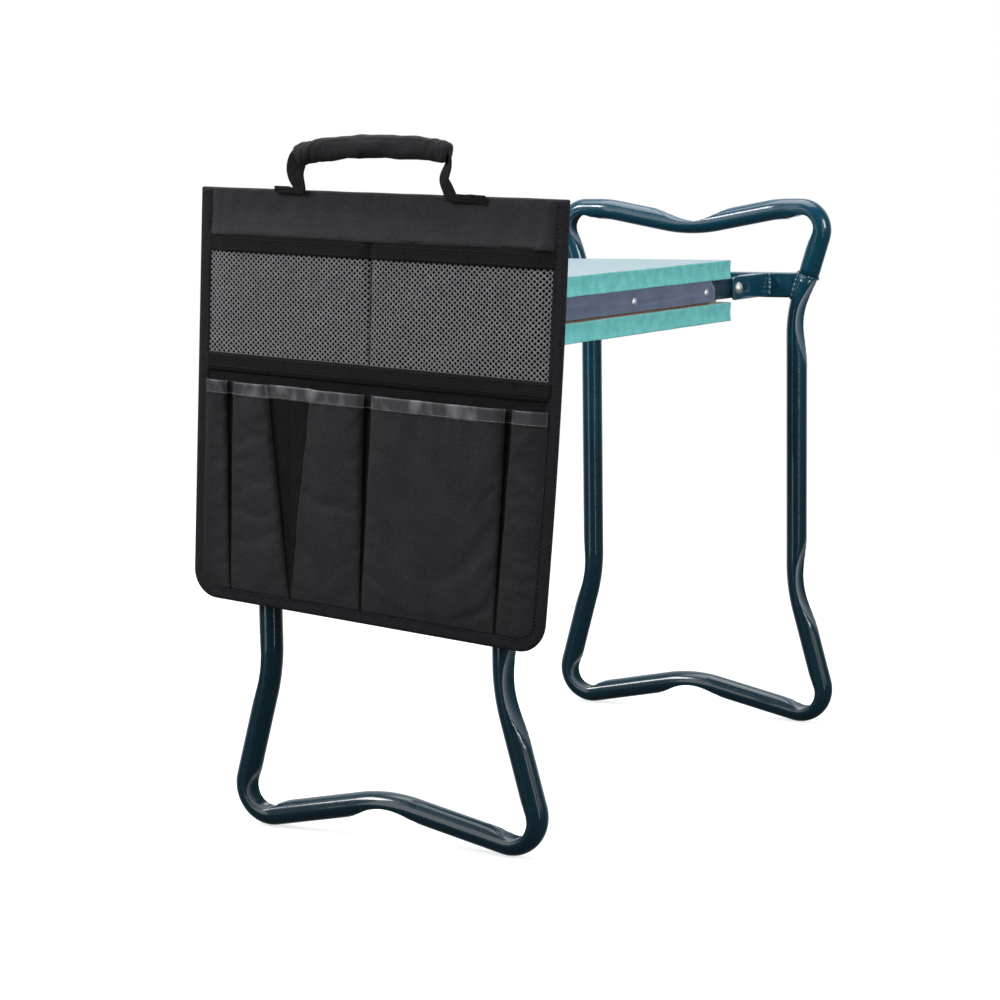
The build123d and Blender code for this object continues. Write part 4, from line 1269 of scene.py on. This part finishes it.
def make_ribbon():
    """Satin tape folded over the tool pocket's top edge and sewn through."""
    b_lines = np.array([RIBBON_BOTTOM_B, RIBBON_BOTTOM_B + 0.5, 4.0, 6.5, 9.0, 11.3, 12.3, 12.6, 12.2, 10.5])
    lift = np.array([0.55, 0.75, 0.7, 0.62, 0.7, 0.75, 0.5, 0.0, -0.55, -0.8])
    out, a = tool_surface(np.minimum(b_lines, TOOL_TOP_B))
    b = np.repeat(b_lines[:, None], a.shape[1], axis=1)
    slack = np.clip(out / LIP, 0, 1)
    out = out + slack * 0.55 * dimples(a, 0.45 * b, 26, 41) + lift[:, None]
    b = b + 0.35 * dimples(a, 0 * b, 22, 44)
    points = pouch_points(FRONT_DEPTH + out, a, b)
    piece = make_piece("tool_pocket_tape", points, grid_faces(*a.shape), RIBBON, "pouch", "ribbon",
                       ["tool_pocket_ribbon"], closed=False)
    thicken(piece, 0.3)
    shade_pleats(piece, narrow_only=True)
    seam_b = RIBBON_BOTTOM_B + 1.3
    seam_out, seam_a = tool_surface(np.array([seam_b]))
    seam_depth = FRONT_DEPTH + seam_out[0] + 1.0
    stitches("ribbon_stitches", seam_depth, seam_a[0], seam_b, PALE_THREAD, 2.6, radius=0.36)


def flat_strap(points, width, thickness, sides=14):
    """Points and faces of a flat strap. Each point is depth, a, b, then width share and twist in degrees."""
    line = smooth_line(points, 1.5)
    places = pouch_points(*line.T[:3])
    along = tangents(places)
    outward = np.array([-1.0, 0, 0])
    rings = []
    turn = round_turn(sides)
    for place, direction, share, twist in zip(places, along, line[:, 3], np.radians(line[:, 4])):
        across = unit(np.cross(direction, outward))
        facing = unit(np.cross(across, direction))
        wide = math.cos(twist) * across + math.sin(twist) * facing
        thin = np.cross(direction, wide)
        u = squarer(np.cos(turn), 0.35) * width * share / 2
        v = squarer(np.sin(turn), 0.6) * thickness / 2
        rings.append(place + u[:, None] * wide + v[:, None] * thin)
    return np.concatenate(rings), capped(len(places), sides)


STRAP_TAPE_WIDTH, STRAP_TAPE_THICKNESS = 12.5, 2.0
GRIP_HALF_HEIGHT, GRIP_HALF_DEPTH = 8.9, 6.3


def make_carry_handle():
    """Two flat straps, the grip that they carry, and the tabs that they are sewn by."""
    depth = 17.3
    left = [
        (depth, 69.5, 165.0, 0.95, 16), (depth + 0.4, 70.4, 170.0, 1.0, 12),
        (depth + 0.6, 73.6, 178.0, 1.2, 2), (depth + 0.3, 74.0, 185.5, 1.3, -5),
        (depth, 70.8, 193.0, 1.2, -8), (depth, 60.0, 197.0, 0.9, 0),
    ]
    right = [
        (depth, -63.8, 165.0, 1.0, 12), (depth + 0.3, -61.4, 171.0, 1.0, 20),
        (depth + 0.5, -57.8, 179.0, 1.0, 28), (depth + 0.2, -60.6, 188.5, 1.0, 38),
        (depth, -60.4, 195.5, 0.85, 42), (depth, -52.0, 199.0, 0.9, 20),
    ]
    straps = merged([flat_strap(line, STRAP_TAPE_WIDTH, STRAP_TAPE_THICKNESS) for line in (left, right)])
    make_piece("carry_straps", *straps, HEM, "carry_handle", "webbing", ["carry_webbing"])
    make_grip(depth)
    make_tabs()


def make_grip(depth):
    """Cloth sleeve round a foam core, gathered where the webbing leaves it."""
    spine = smooth_line([(72.0, 192.3, 0.6), (71.4, 192.7, 0.88), (68.0, 194.2, 1.0), (57.0, 197.2, 1.0),
                         (34.0, 199.6, 0.98), (3.0, 201.2, 1.0), (-30.0, 201.2, 0.97), (-51.0, 199.9, 0.95),
                         (-58.5, 199.1, 0.92), (-61.2, 198.7, 0.82), (-61.9, 198.5, 0.5)], 1.2)
    sides = 40
    turn = round_turn(sides)
    up = -sideways(tangents(spine[:, :2]))
    rings = []
    for (a, b, share), lift in zip(spine, up):
        high = squarer(np.sin(turn), 0.8) * GRIP_HALF_HEIGHT * (0.25 + 0.75 * share)
        deep = squarer(np.cos(turn), 0.85) * GRIP_HALF_DEPTH * share
        rings.append(np.column_stack([depth + deep, a + high * lift[0], b + high * lift[1]]))
    rings = np.concatenate(rings)
    bunched = np.clip((np.abs(rings[:, 1] - 3) - 40) / 26, 0, 1)
    folds = ripple(rings * (1.0, 1.0, 0.25), 5.0, 51) * 0.9 * bunched + ripple(rings, 12, 52) * 0.8
    centre = np.repeat(np.column_stack([np.full(len(spine), depth), spine[:, :2]]), sides, axis=0)
    away = rings - centre
    away /= np.maximum(np.linalg.norm(away, axis=1), 1e-6)[:, None]
    rings = rings + away * folds[:, None]
    points = pouch_points(*rings.T)
    grip = make_piece("carry_grip_sleeve", points, capped(len(spine), sides), GRIP_CLOTH, "carry_handle",
                      "oxford_cloth", ["carry_grip"])
    ends = np.abs(centre[:, 1] - 3) > 64
    settle(grip, np.flatnonzero(ends), 0.02, 1.2, pressure=2.0)
    soften(grip)
    seam = spine[6:-6]
    stitches("grip_stitches", depth + 4.6, seam[:, 0], seam[:, 1] + 7.2, THREAD, 3.0, "carry_handle")


def make_tabs():
    """Ends of the carry webbing, turned outward along the pouch's top edge and sewn down."""
    parts = []
    for side, a0, a1, drop, slope in ((1, 66.0, 92.5, 3.0, 0.0), (-1, -60.5, -93.5, 4.0, 0.06)):
        a, b = sheet_grid(a0, a1, POUCH_HALF_HEIGHT - drop, POUCH_HALF_HEIGHT + 1.9, 1.4)
        b = b - slope * np.abs(a - a0) + 0.9 * np.clip((np.abs(a) - 76) / 5, 0, 1)
        edge = np.clip((np.abs(a1 - a)) / 3, 0, 1)
        depth = FRONT_DEPTH + 1.7 + 0.25 * dimples(a, b, 7, 61 + side) + 0.5 * edge
        parts.append((pouch_points(depth, a, b + 0.3 * dimples(a, 0 * b, 9, 63)), grid_faces(*a.shape)))
    tabs = make_piece("carry_tabs_sewn", *merged(parts), HEM, "pouch", "webbing", ["carry_handle_tabs"],
                      closed=False)
    thicken(tabs, 1.5)
    for name, a0, a1 in (("rear", 77.0, 90.5), ("front", -73.0, -91.5)):
        b0, b1 = POUCH_HALF_HEIGHT - 2.0, POUCH_HALF_HEIGHT + 0.8
        box = np.array([(a0, b0), (a1, b0), (a1, b1), (a0, b1), (a0, b0), (a1, b1)])
        stitches(f"tab_stitches_{name}", FRONT_DEPTH + 3.2, box[:, 0], box[:, 1], THREAD, 2.2)


def make_hanging_straps():
    """Hook-and-loop strap: sewn to the pouch's back, round the hand rail and pressed onto its own tail."""
    ring = STRAP_INNER_R + 0.5
    tail_x = -(STRAP_INNER_R + 0.55)
    line = [(tail_x, -45.0), (tail_x, -30.0), (tail_x, -14.0)]
    for angle in np.linspace(math.pi, -math.pi * 0.72, 44):
        line.append((ring * math.cos(angle), ring * math.sin(angle)))
    line += [(-ring + 2.2, -13.0), (-ring + 1.35, -19.0), (-ring + 1.3, -30.0), (-ring + 1.7, -35.0)]
    line = smooth_line(line, 1.6)
    normal = sideways(tangents(line))
    for name, y in (("rear", STRAP_Y), ("front", -STRAP_Y)):
        rows = []
        places = np.linspace(-STRAP_WIDTH / 2, STRAP_WIDTH / 2, 11)
        for place, out in zip(line, normal):
            wave = 0.12 * ripple([(place[0], p, place[1]) for p in places], 6, 71)
            x = -FRAME_PLANE_X + place[0] + out[0] * wave
            z = STRAP_AXIS_Z + place[1] + out[1] * wave
            rows.append(np.column_stack([x, y + places, z]))
        faces = grid_faces(len(rows), len(places))
        strap = make_piece(f"{name}_strap_loop", np.concatenate(rows), faces, VELCRO, "pouch", "webbing",
                           [f"{name}_hanging_strap"], closed=False)
        thicken(strap, 0.9, soft=False)


def make_pouch():
    make_panels()
    make_flap()
    make_binding()
    make_mesh_pocket()
    make_hems()
    make_tool_pocket()
    make_carry_handle()
    make_hanging_straps()


# ================================================================ the whole seat

paint_cad_nodes()
make_camera()
make_world()
make_lights()
make_floor()
make_frames()
make_deck()
make_pouch()
